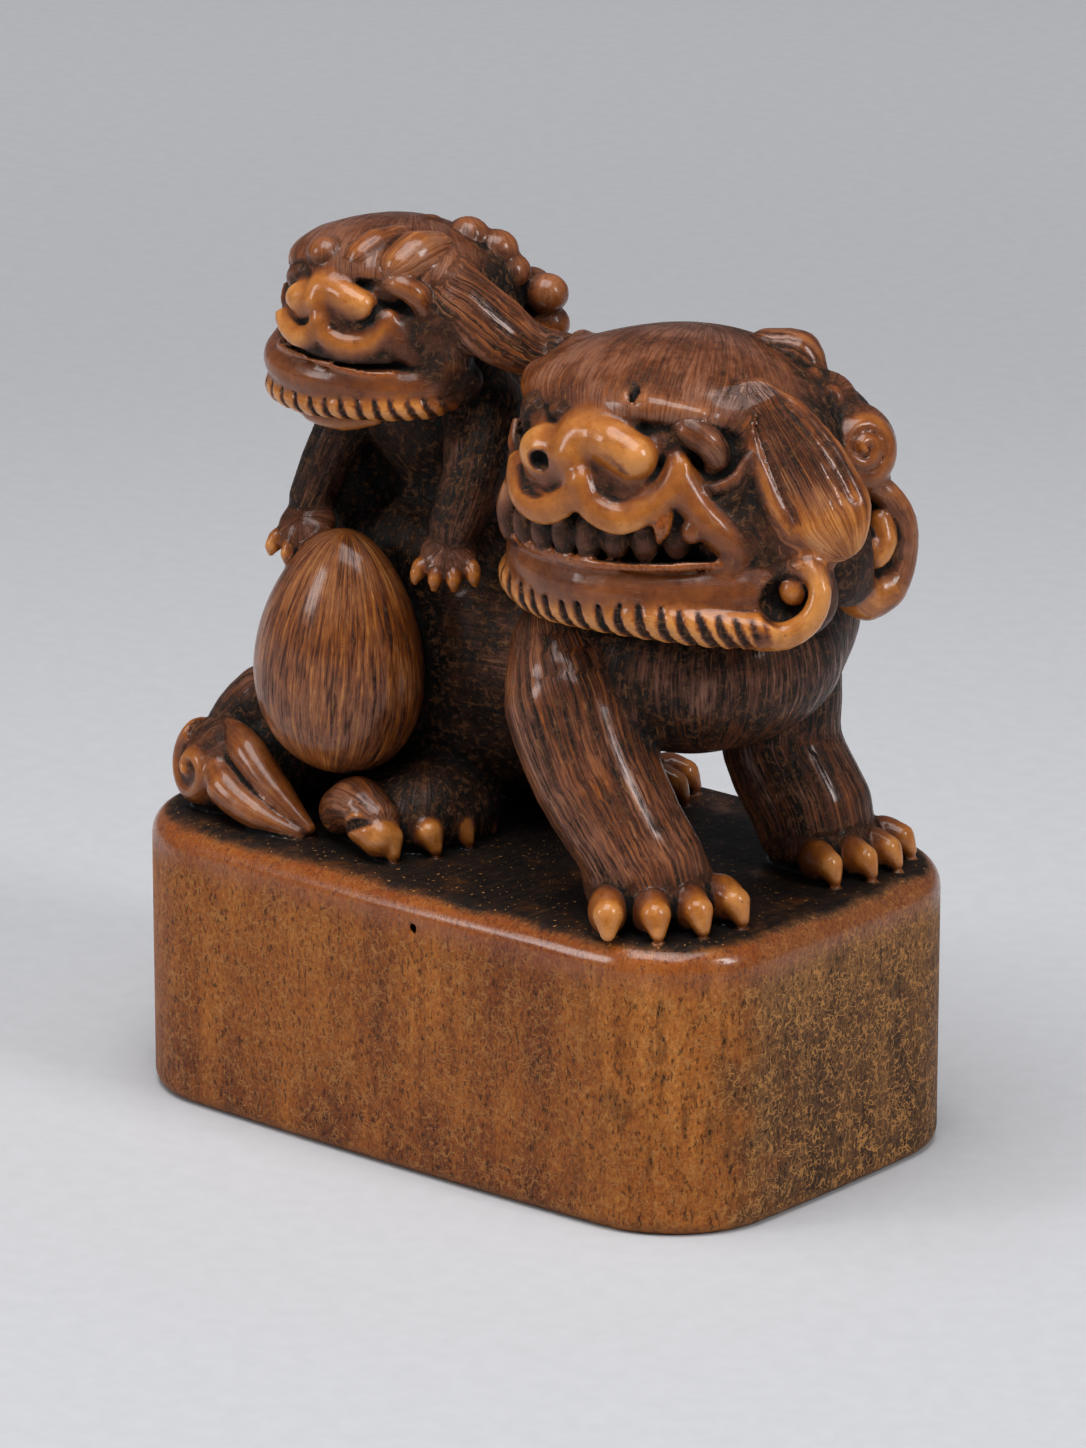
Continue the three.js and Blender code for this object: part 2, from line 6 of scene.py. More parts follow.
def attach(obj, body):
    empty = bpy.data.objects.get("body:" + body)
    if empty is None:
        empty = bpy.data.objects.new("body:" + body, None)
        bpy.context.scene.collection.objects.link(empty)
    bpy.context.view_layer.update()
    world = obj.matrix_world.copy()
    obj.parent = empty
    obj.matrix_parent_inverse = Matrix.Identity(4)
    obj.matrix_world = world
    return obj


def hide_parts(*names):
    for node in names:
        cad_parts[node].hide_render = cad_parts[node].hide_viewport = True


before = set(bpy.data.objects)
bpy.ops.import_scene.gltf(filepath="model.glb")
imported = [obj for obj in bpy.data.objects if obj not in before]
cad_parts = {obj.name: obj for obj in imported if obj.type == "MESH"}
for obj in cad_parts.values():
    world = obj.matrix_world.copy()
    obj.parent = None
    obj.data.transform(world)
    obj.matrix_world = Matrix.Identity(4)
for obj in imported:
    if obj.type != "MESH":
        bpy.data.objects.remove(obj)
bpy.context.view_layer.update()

# The netsuke, its carving
# A lion with a cub on its back, standing on a block: one piece of stained boxwood, carved in the round.
# It is made here as a carver would, form upon form and cut after cut, and measured in millimetres.

# The block's length, width and height, its round corners, the belly of its sides and its softened edges.
LENGTH = 33.0
WIDTH = 20.0
HEIGHT = 12.7
CORNER = 4.7
BELLY = 0.4
TOP_EDGE = 1.2
FOOT_EDGE = 0.6
# The paws stand on a ground just inside the block's top.
SOLE = 12.6
TOES = 4
MOTHER_TEETH = 9
MOUTH_SLIT = 0.17
# The near side of a face and the far side, which is turned away and a little narrower.
FAR_SIDE = -0.8
SIDES = (1.0, FAR_SIDE)
# What has this tone takes the stand's finish: the block itself, the rims of the lower lips and the fang.
STAND_TONE = 0.7
# The distance noted where no form is near, and the shift that sets each form's strokes apart from the next's.
AIR = 3.0
STROKE_SHIFT = 7.3
UP = np.array((0, 0, 1))
WORLD_AXES = np.eye(3)


def unit(v):
    v = np.asarray(v, float)
    return v / np.linalg.norm(v)


class Place:
    """A local frame on the piece: an origin, three axes and a size."""

    def __init__(self, origin=(0, 0, 0), axes=WORLD_AXES, size=1.0):
        self.origin = np.asarray(origin, float)
        self.axes = np.asarray(axes, float)
        self.size = size

    def turned(self, origin, yaw=0, pitch=0, roll=0, size=1.0):
        a, b, c = np.radians([yaw, pitch, roll])
        about_z = np.array([[np.cos(a), -np.sin(a), 0], [np.sin(a), np.cos(a), 0], [0, 0, 1]])
        about_x = np.array([[1, 0, 0], [0, np.cos(b), -np.sin(b)], [0, np.sin(b), np.cos(b)]])
        about_y = np.array([[np.cos(c), 0, np.sin(c)], [0, 1, 0], [-np.sin(c), 0, np.cos(c)]])
        return Place(self.point(origin), self.axes @ about_z @ about_x @ about_y, self.size * size)

    def point(self, p):
        return self.origin + self.size * (self.axes @ np.asarray(p, float))

    def local(self, x, y, z):
        dx, dy, dz = x - self.origin[0], y - self.origin[1], z - self.origin[2]
        m = (self.axes / self.size).astype(np.float32)
        return tuple(dx * m[0, k] + dy * m[1, k] + dz * m[2, k] for k in range(3))


WORLD = Place()


def spline(points, n):
    """n + 1 points on a smooth curve through the given ones."""
    p = np.asarray(points, float)
    p = np.vstack([2 * p[0] - p[1], p, 2 * p[-1] - p[-2]])
    out = []
    for t in np.linspace(0, len(p) - 3 - 1e-9, n + 1):
        i = int(t)
        u = t - i
        a, b, c, d = p[i:i + 4]
        bend = (2 * a - 5 * b + 4 * c - d) * u**2 + (3 * b - a - 3 * c + d) * u**3
        out.append(0.5 * (2 * b + (c - a) * u + bend))
    return np.array(out)


class Carving:
    """A solid made of forms and cuts in order, each blended softly into what is there."""

    def __init__(self):
        self.cuts = []

    def put(self, kind, place, shape, low, high, blend, tone, streak, grain, reach):
        sides = [(low[k], high[k]) for k in range(3)]
        corners = np.array([place.point((x, y, z)) for x in sides[0] for y in sides[1] for z in sides[2]])
        pad = reach + 0.1
        self.cuts.append(dict(kind=kind, place=place, shape=shape, low=corners.min(0) - pad,
                              high=corners.max(0) + pad, blend=blend * place.size, tone=tone,
                              streak=streak, grain=grain))

    def egg(self, centre, radii, place=WORLD, turn=(0, 0, 0), taper=0.0, blend=0.6, tone=0.3,
            streak=0.5, kind="add", comb=(0, 0, 1), reach=2.2):
        """An ellipsoid; taper narrows it towards its top. Its strokes run out from the way comb points,
        and with no comb those of the form below run on over it."""
        here = place.turned(centre, *turn)
        rx, ry, rz = radii

        def shape(x, y, z):
            k = 1 - taper * np.clip(z / rz, -1, 1)
            x, y = x / k, y / k
            a = np.sqrt((x / rx) ** 2 + (y / ry) ** 2 + (z / rz) ** 2)
            b = np.sqrt((x / rx**2) ** 2 + (y / ry**2) ** 2 + (z / rz**2) ** 2)
            return a * (a - 1) / (b + 1e-6)

        pole = unit(comb or (0, 0, 1))
        side = unit(np.cross((0, 1, 0.01), pole))
        front = np.cross(pole, side)

        def grain(x, y, z):
            a, b, c = (x * v[0] + y * v[1] + z * v[2] for v in (side, front, pole))
            r = np.sqrt(a * a + b * b) + 1e-3
            m = (rx + ry) / 2
            return a / r * m, b / r * m, c

        g = 1 + abs(taper)
        self.put(kind, here, shape, (-rx * g, -ry * g, -rz), (rx * g, ry * g, rz), blend, tone, streak,
                 grain if comb else None, reach)

    def limb(self, points, radii, place=WORLD, blend=0.6, tone=0.3, streak=0.5, kind="add",
             flat=(0, 0, 1), squeeze=1.0, steps=None, combed=True, reach=1.6):
        """A tapered round bar along a smooth curve; squeeze thins it along the direction flat."""
        n = steps or max(2, 3 * (len(points) - 1))
        path = spline(points, n).astype(np.float32)
        rad = np.interp(np.linspace(0, 1, n + 1), np.linspace(0, 1, len(radii)), radii)
        rad = rad.astype(np.float32)
        f = unit(flat).astype(np.float32)
        stretch = 1 / squeeze - 1

        def walk(x, y, z):
            best, along = None, None
            for i in range(n):
                a, b = path[i], path[i + 1]
                v = b - a
                v = v + f * (v @ f) * stretch
                dx, dy, dz = x - a[0], y - a[1], z - a[2]
                k = (dx * f[0] + dy * f[1] + dz * f[2]) * stretch
                dx, dy, dz = dx + k * f[0], dy + k * f[1], dz + k * f[2]
                t = np.clip((dx * v[0] + dy * v[1] + dz * v[2]) / (v @ v + 1e-9), 0, 1)
                d = np.sqrt((dx - t * v[0]) ** 2 + (dy - t * v[1]) ** 2 + (dz - t * v[2]) ** 2)
                d = d - (rad[i] + t * (rad[i + 1] - rad[i]))
                if best is None:
                    best, along = d, t
                else:
                    closer = d < best
                    along = np.where(closer, i + t, along)
                    best = np.where(closer, d, best)
            return best, along

        def shape(x, y, z):
            return walk(x, y, z)[0] * min(squeeze, 1.0)

        length = np.linalg.norm(np.diff(path, axis=0), axis=1).sum() / n

        def grain(x, y, z):
            t = walk(x, y, z)[1]
            q = np.stack([np.interp(t, np.arange(n + 1), path[:, k]) for k in range(3)])
            w = unit(path[-1] - path[0])
            u = unit(np.cross(w, (0.3, 1, 0.2)))
            v = np.cross(w, u)
            d = np.stack([x - q[0], y - q[1], z - q[2]])
            a, b = np.tensordot(u, d, 1), np.tensordot(v, d, 1)
            r = np.sqrt(a * a + b * b) + 1e-3
            m = rad.mean()
            return a / r * m, b / r * m, t * length

        r = rad[:, None] * 1.02
        self.put(kind, place, shape, (path - r).min(0), (path + r).max(0), blend, tone, streak,
                 grain if combed else None, reach)

    def groove(self, points, width, place=WORLD, tone=0.05, blend=0.1, steps=None):
        """A cut along a line on the surface, deepest in its middle."""
        radii = [0.45 * width, width, width, 0.45 * width]
        self.limb(points, radii, place, kind="cut", blend=blend, tone=tone, streak=None, steps=steps,
                  reach=0.5)

    def spiral(self, centre, place=WORLD, turn=(0, 0, 0), radius=2.0, turns=1.6, thick=0.5, hand=1,
               start=0.0, dome=0.3, blend=0.25, tone=0.6, streak=0.1, reach=0.8):
        """A rolled lock seen from its end: a bar wound into a flat spiral, its face towards local +z."""
        here = place.turned(centre, *turn)
        pitch = radius / turns
        end = turns * 2 * np.pi

        def shape(x, y, z):
            rho = np.sqrt(x * x + y * y)
            phi = (hand * np.arctan2(y, x) - np.radians(start)) % (2 * np.pi)
            k = np.round((rho / pitch * 2 * np.pi - phi) / (2 * np.pi))
            k = np.clip(k, 0, np.floor((end - phi) / (2 * np.pi)))
            theta = phi + 2 * np.pi * k
            line = pitch * theta / (2 * np.pi)
            bar = thick * (0.55 + 0.45 * theta / end)
            rise = z - dome * (1 - rho / radius)
            d = np.sqrt((rho - line) ** 2 + (rise * 0.8) ** 2) - bar
            disc = np.maximum(rho - radius, np.abs(z + 0.6 * thick) - 0.6 * thick)
            return np.minimum(d, disc)

        def grain(x, y, z):
            rho = np.sqrt(x * x + y * y)
            return rho, z, np.arctan2(y, x) * rho

        r = radius + thick
        self.put("add", here, shape, (-r, -r, -1.4 * thick), (r, r, dome + 1.3 * thick), blend, tone,
                 streak, grain, reach)

    def block(self, length, width, height, corner, bulge, top_edge, foot_edge):
        """The stand: a box with round corners, faintly bellied sides and softened edges."""
        hx, hy = length / 2 - corner, width / 2 - corner

        def shape(x, y, z):
            sx = 1 + 2 * bulge / length * (1 - np.minimum(1, (2 * y / width) ** 2))
            sy = 1 + 2 * bulge / width * (1 - np.minimum(1, (2 * x / length) ** 2))
            ax, ay = np.abs(x / sx) - hx, np.abs(y / sy) - hy
            side = np.sqrt(np.maximum(ax, 0) ** 2 + np.maximum(ay, 0) ** 2)
            side = side + np.minimum(np.maximum(ax, ay), 0) - corner
            e = np.where(z > height / 2, top_edge, foot_edge)
            a, b = side + e, np.abs(z - height / 2) - height / 2 + e
            outside = np.sqrt(np.maximum(a, 0) ** 2 + np.maximum(b, 0) ** 2)
            return outside + np.minimum(np.maximum(a, b), 0) - e

        def grain(x, y, z):
            return x + 0 * y + 0 * z, y + 0 * x + 0 * z, z + 0 * x + 0 * y

        high = np.array((length / 2 + bulge, width / 2 + bulge, height))
        self.put("add", WORLD, shape, -high * (1, 1, 0), high, blend=0.1, tone=STAND_TONE, streak=0.0,
                 grain=grain, reach=2.2)

    @staticmethod
    def mix(kind, field, d, blend):
        """Joins, cuts or only stains softly; the second value says how much the new form rules."""
        if kind == "stain":
            return field, np.clip(0.5 - d / blend, 0, 1)
        if kind == "add":
            h = np.clip(0.5 + 0.5 * (field - d) / blend, 0, 1)
            return field + (d - field) * h - blend * h * (1 - h), h
        h = np.clip(0.5 - 0.5 * (field + d) / blend, 0, 1)
        return field + (-d - field) * h + blend * h * (1 - h), h

    def grid(self, step, margin=2):
        """The signed distance on a regular lattice."""
        low = np.min([c["low"] for c in self.cuts], 0)
        high = np.max([c["high"] for c in self.cuts], 0)
        low[2] = -(margin + 0.5) * step
        count = np.ceil((high - low) / step).astype(int) + 1
        axes = [(low[k] + step * np.arange(count[k])).astype(np.float32) for k in range(3)]
        field = np.full(count, AIR, np.float32)
        for c in self.cuts:
            i = np.clip(np.floor((c["low"] - low) / step).astype(int), 0, count)
            j = np.clip(np.ceil((c["high"] - low) / step).astype(int) + 1, 0, count)
            s = tuple(slice(a, b) for a, b in zip(i, j))
            x, y, z = axes[0][s[0]][:, None, None], axes[1][s[1]][None, :, None], axes[2][s[2]][None, None, :]
            d = c["shape"](*c["place"].local(x, y, z)) * c["place"].size
            field[s] = self.mix(c["kind"], field[s], d.astype(np.float32), c["blend"])[0]
        return low, field

    def finish_at(self, points):
        """At each point: the tone, the strokes' strength, the stand's share and the way the strokes run."""
        n = len(points)
        field = np.full(n, AIR, np.float32)
        tone, streak, stand = np.zeros(n), np.zeros(n), np.zeros(n)
        grain, lead = np.zeros((n, 3)), np.zeros(n, np.int32)
        for index, c in enumerate(self.cuts):
            near = np.flatnonzero(((points > c["low"]) & (points < c["high"])).all(1))
            if not len(near):
                continue
            d = c["shape"](*c["place"].local(*points[near].T)) * c["place"].size
            field[near], h = self.mix(c["kind"], field[near], d.astype(np.float32), c["blend"])
            if c["tone"] is not None:
                tone[near] += (c["tone"] - tone[near]) * h
            if c["streak"] is not None:
                streak[near] += (c["streak"] - streak[near]) * h
            if c["kind"] == "add":
                stand[near] += ((c["tone"] == STAND_TONE) - stand[near]) * h
            if c["kind"] == "add" and c["grain"]:
                lead[near[h > 0.5]] = index
        for index in np.unique(lead):
            here = np.flatnonzero(lead == index)
            c = self.cuts[index]
            g = c["grain"](*c["place"].local(*points[here].T))
            grain[here] = np.stack([np.broadcast_to(q, len(here)) for q in g], 1) * c["place"].size
            grain[here, 0] += STROKE_SHIFT * index
        return tone, streak, stand, grain


def roll_of_hair(c, place, centre, outward, radius, turns=1.35, tone=0.5, hand=1, start=0):
    """A ball of rolled hair with its spiral facing outward."""
    deep = 0.75
    n = unit(outward)
    yaw, pitch = np.degrees(np.arctan2(n[0], -n[1])), np.degrees(np.arccos(n[2]))
    c.egg(centre, (radius, radius, radius * deep), place, turn=(yaw, pitch, 0), blend=0.3,
          tone=tone * 0.5, streak=0.3)
    face = np.asarray(centre) + n * radius * deep * 0.45
    c.spiral(face, place, turn=(yaw, pitch, 0), radius=radius * 0.82, turns=turns, thick=radius * 0.27,
             hand=hand, start=start, dome=radius * 0.4, blend=0.1, tone=tone)


def sunk(points, depth):
    """Points on a face, moved a little into the head."""
    p = np.asarray(points, float)
    out = p * (0.6, 1, 0)
    return p - depth * out / np.linalg.norm(out, axis=1)[:, None]


# Lines on each face, in the head's own frame: x to the right of the photograph, y back, z up.
MOTHER = dict(
    at=(8.3, 0, 31.0), yaw=7, size=1.0, lip_front=-7.0,
    brow=[(-5.4, -4.4, 3.7), (-3.17, -6.0, 3.7), (-1.6, -6.8, 3.75), (0.1, -7.3, 3.85), (1.57, -7.6, 4.0),
          (3.1, -7.6, 4.05), (4.6, -7.1, 3.9), (6.0, -5.9, 3.6)],
    mouth=[(-6.0, -4.2, -2.2), (-4.9, -6.4, -2.1), (-3.0, -8.1, -2.0), (-0.2, -9.0, -1.95),
           (2.8, -8.8, -1.85), (4.6, -8.0, -1.65), (5.9, -7.0, -1.45)],
    arch=[(-5.9, -2.0, -3.05), (-4.8, -4.55, -3.35), (-3.1, -6.45, -3.65), (0, -7.5, -3.75),
          (3.8, -7.05, -3.7), (6.3, -5.75, -3.5), (7.5, -4.2, -3.3)],
    nose=[(0.2, -7.3, 3.2), (-0.4, -7.7, 2.5), (-0.6, -8.0, 1.9)],
    left_wing=(-2.0, -7.9, 1.72), wing_size=(1.38, 1.0, 1.22),
    right_wing=[(0.2, -7.75, 2.75), (1.25, -8.0, 2.6), (2.3, -8.05, 2.15)],
    under_right=[(0.72, -9.3, 1.75), (1.3, -9.2, 1.08), (2.45, -9.0, 0.8), (3.3, -8.6, 1.2),
                 (3.72, -8.1, 2.0), (3.5, -7.9, 2.6)],
    under_left=[(-3.5, -8.0, 0.95), (-2.9, -8.6, 0.45), (-2.0, -9.0, 0.25), (-1.2, -9.3, 0.65)],
    lip_left=[(0.0, -9.2, 1.0), (-0.35, -9.3, 0.2), (-1.46, -9.2, -0.4), (-2.69, -8.8, -0.28),
              (-3.53, -8.2, 0.2), (-4.0, -7.6, 0.9)],
    lip_right=[(0.2, -9.3, 1.15), (0.6, -9.35, 0.3), (1.35, -9.2, -0.2), (2.2, -9.0, -0.3),
               (3.2, -8.6, 0.2), (3.85, -8.15, 1.0), (4.1, -7.7, 1.9)],
    cheek=[(4.06, -7.6, 1.85), (4.56, -7.7, 0.71), (5.47, -7.5, -0.35), (6.09, -7.1, -1.11),
           (6.4, -6.8, -1.8), (6.1, -6.9, -2.35)],
    outer_cheek=[(4.9, -6.9, 1.0), (5.6, -6.5, 0.1), (6.5, -6.1, -0.8), (7.0, -5.8, -1.9),
                 (6.9, -5.9, -3.0)],
    rim=[(-5.5, -5.6, -2.35), (-5.0, -6.8, -2.35), (-2.85, -8.15, -2.42), (-0.16, -8.85, -2.45),
         (1.45, -8.95, -2.4), (3.53, -8.65, -2.25), (5.2, -7.9, -2.1), (6.2, -7.0, -2.1)],
    fringe=[(-6.0, -1.6, -4.35), (-5.8, -3.9, -4.45), (-4.95, -5.85, -4.6), (-2.75, -7.25, -4.85),
            (-0.4, -7.95, -4.75), (2.2, -8.2, -4.65), (4.6, -7.95, -4.65), (6.6, -7.25, -4.75),
            (8.0, -6.5, -4.8)],
    eye=[(3.6, -7.25, 3.3), (4.4, -7.35, 3.3), (5.15, -7.05, 2.85), (5.4, -6.8, 2.2), (5.15, -6.8, 1.75)],
)
CUB = dict(
    at=(-6.25, -1.9, 35.8), yaw=10, size=0.68, lip_front=-7.4,
    brow=[(-5.2, -4.2, 3.5), (-3.15, -6.2, 3.4), (-1.05, -7.2, 3.3), (0.6, -7.6, 3.4), (2.2, -7.7, 3.5),
          (3.8, -7.3, 3.4), (5.4, -6.2, 3.0)],
    mouth=[(-6.0, -4.6, -1.6), (-4.8, -7.0, -1.5), (-2.6, -8.6, -1.45), (-0.2, -9.1, -1.6),
           (2.2, -8.8, -1.85), (4.4, -7.8, -1.9)],
    arch=[(-7.0, -2.2, -2.9), (-5.8, -5.0, -3.1), (-3.7, -6.8, -3.35), (0, -7.5, -3.55),
          (3.4, -7.0, -3.6), (5.6, -5.6, -3.5), (6.8, -3.8, -3.4)],
    nose=[(-0.5, -7.3, 2.9), (-1.0, -7.7, 2.3), (-1.1, -8.0, 1.7)],
    left_wing=(-2.35, -7.8, 1.6), wing_size=(1.4, 1.0, 1.15),
    right_wing=[(-0.4, -7.75, 2.5), (0.9, -8.05, 2.1), (1.9, -8.05, 1.75)],
    under_right=[(0.04, -9.3, 1.5), (0.7, -9.2, 0.85), (1.74, -8.9, 0.55), (2.6, -8.4, 0.85),
                 (2.87, -7.9, 1.7)],
    under_left=[(-3.7, -7.9, 1.2), (-3.1, -8.5, 0.7), (-2.2, -8.95, 0.5), (-1.4, -9.2, 0.8)],
    lip_left=[(-0.8, -9.3, 0.8), (-1.05, -9.3, 0.0), (-2.2, -9.1, -0.6), (-3.4, -8.6, -0.3),
              (-4.4, -7.8, 0.2)],
    lip_right=[(-0.6, -9.3, 0.8), (-0.3, -9.35, -0.1), (0.5, -9.2, -0.6), (1.4, -9.0, -0.75),
               (2.55, -8.6, -0.5), (3.3, -8.2, 0.3), (3.6, -7.8, 1.1)],
    cheek=[(3.6, -7.7, 0.9), (4.0, -7.6, 0.0), (4.4, -7.5, -0.8), (4.95, -7.2, -1.5)],
    outer_cheek=[(4.9, -6.9, 0.6), (5.6, -6.6, 0.0), (6.3, -6.2, -0.7), (6.8, -5.7, -1.6)],
    rim=[(-5.4, -6.2, -1.75), (-4.7, -7.4, -1.8), (-2.59, -8.5, -1.95), (-0.6, -8.95, -2.1),
         (0.9, -8.95, -2.3), (2.43, -8.7, -2.45), (4.0, -8.0, -2.4)],
    fringe=[(-6.9, -2.2, -4.6), (-6.6, -4.4, -4.75), (-5.2, -6.3, -5.0), (-2.5, -7.6, -5.1),
            (0.2, -8.2, -4.9), (2.6, -8.05, -4.75), (4.7, -7.3, -4.65), (6.2, -6.0, -4.5),
            (6.8, -4.2, -4.2)],
    eye=[(2.9, -7.4, 2.9), (4.2, -7.5, 3.1), (5.2, -7.1, 2.5), (5.4, -6.8, 1.6)],
)


def skull(c, head):
    """The round of the head under its cap of hair."""
    c.egg((0, -0.2, 0.4), (6.9, 7.0, 4.9), head, blend=1.2, tone=0.1, streak=0.3)
    c.egg((0.3, -1.6, 2.4), (6.4, 6.4, 3.5), head, blend=0.8, tone=0.48, streak=0.42, comb=(-0.3, 0.9, 0.6))
    c.egg((0.5, -3.3, 3.35), (6.3, 4.25, 2.2), head, blend=1.0, tone=0.5, streak=0.42, comb=None)
    c.egg((5.4, 0.6, -0.2), (2.6, 4.8, 4.2), head, blend=1.0, tone=0.06, streak=0.4)
    c.egg((-4.3, -0.6, -0.4), (2.9, 4.8, 4.2), head, blend=1.0, tone=0.06, streak=0.4)


def muzzle(c, head, face):
    """Upper jaw, cheeks and the hollows of the eyes."""
    front = face["lip_front"]
    c.egg((0, -5.2, 0.8), (4.6, 3.5, 2.4), head, blend=0.8, tone=0.22, streak=0.1)
    c.egg((0.1, -6.3, 0.9), (4.7, 2.5, 1.9), head, blend=0.5, tone=0.4, streak=0)
    upper_jaw = [(-4.9, -3.8, -0.8), (-3.2, front + 0.9, -0.7), (0, front, -0.6), (3.8, front + 0.7, -0.7),
                 (5.9, -4.6, -0.8)]
    c.limb(upper_jaw, [1.2, 1.25, 1.3, 1.25, 1.2], head, blend=0.5, tone=0.16, streak=0)
    c.egg((4.9, -4.2, 0.0), (2.3, 2.6, 2.6), head, blend=0.8, tone=0.12, streak=0.1)
    c.egg((-3.9, -3.6, 0.0), (2.1, 2.6, 2.6), head, blend=0.8, tone=0.12, streak=0.1)
    under_brow = np.array(face["brow"]) + (0, -0.3, -0.75)
    c.limb(under_brow, [0.5, 0.75, 0.7, 0.75, 0.9, 0.8], head, kind="cut", blend=0.15, tone=0.03, streak=0,
           squeeze=0.8)
    for s in SIDES:
        c.egg((s * 4.6, -7.9, 2.3), (2.0, 1.6, 1.4), head, kind="cut", blend=0.5, tone=0.03, streak=0)
        c.egg((s * 2.9, -6.75, 2.6), (1.3, 0.85, 0.85), head, blend=0.3, tone=0.34, streak=0.1)


def jaw(c, head, face):
    """The lower jaw, the opening of the mouth and the rim of the lower lip."""
    c.limb(face["arch"], [1.25, 1.3, 1.4, 1.45, 1.42, 1.4, 1.2], head, blend=0.5, tone=0.54, streak=0.05)
    c.egg((0, -2.5, -3.0), (6.0, 5.0, 2.4), head, blend=0.8, tone=0.15, streak=0.1)
    c.limb(face["mouth"], [1.0, 1.1, 1.3, 1.4, 1.3, 1.2, 0.75], head, kind="cut", squeeze=MOUTH_SLIT,
           blend=0.12, tone=0.0, streak=0)
    c.limb(sunk(face["rim"], 0.2), [0.12, 0.17, 0.19, 0.19, 0.19, 0.19, 0.12], head, blend=0.5,
           tone=STAND_TONE, streak=0)


def beard(c, head, face, count, lean):
    """A fringe of comma-shaped locks under the jaw: a thick band, parted by cuts that slip to the right."""
    steps = 120
    thick = 0.84
    path = spline(face["fringe"], steps)
    c.limb(path[::8], [0.6, thick, thick, thick, thick, thick, 0.7], head, blend=0.3, tone=0.9, streak=0.15,
           steps=15)
    for k in range(count):
        t = (k + 0.5) / count
        slip = lean * (0.5 + 2.5 * max(0, t - 0.6))
        line = []
        # Each cut starts on the band's upper side and ends under it, at these angles round the band.
        for share, angle in ((0, 58), (0.25, 15), (0.6, -30), (1, -75)):
            i = min(steps - 1, max(1, round((t + slip * share / count) * steps)))
            out = unit(np.cross(path[i + 1] - path[i - 1], UP))
            a = np.radians(angle)
            line.append(path[i] + thick * (np.cos(a) * out + np.sin(a) * UP))
        c.limb(line, [0.07, 0.15, 0.2, 0.22], head, kind="cut", blend=0.07, tone=0.04, streak=None, steps=6,
               reach=0.5)


def nose_and_lips(c, head, face):
    """A broad bean of a nose over a lip like a wave, with cheek folds round the mouth's corners."""
    c.limb(face["nose"], [0.7, 1.2, 1.15], head, blend=0.5, tone=0.86, streak=0)
    c.egg(face["left_wing"], face["wing_size"], head, blend=0.35, tone=0.88, streak=0)
    c.limb(face["right_wing"], [1.0, 1.02, 0.95], head, blend=0.35, tone=0.9, streak=0)
    far_cheek = np.array(face["cheek"]) * (FAR_SIDE, 1, 1)
    c.limb(sunk(far_cheek, 0.35), [0.4, 0.55, 0.5, 0.4], head, blend=0.3, tone=0.72, streak=0.05)
    c.limb(sunk(face["outer_cheek"], 0.6), [0.5, 0.8, 0.85, 0.7], head, blend=0.4, tone=0.36, streak=0.3)
    lip_end = 0.5 * (np.array(face["cheek"][1]) + np.array(face["lip_right"][-2]))
    c.egg(sunk([lip_end], 0.75)[0], (0.95, 0.8, 1.1), head, blend=0.5, tone=0.6, streak=0)
    c.limb(sunk(face["cheek"], 0.5), [0.45, 0.68, 0.76, 0.66, 0.55], head, blend=0.35, tone=0.55, streak=0.05)
    for lip in (face["lip_left"], face["lip_right"]):
        c.limb(sunk(lip, 0.25), [0.48, 0.62, 0.68, 0.62, 0.5], head, blend=0.25, tone=0.74, streak=0,
               flat=(0, 1, -0.3), squeeze=0.62)
    c.groove(face["under_right"], 0.3, head)
    c.groove(face["under_left"], 0.22, head)


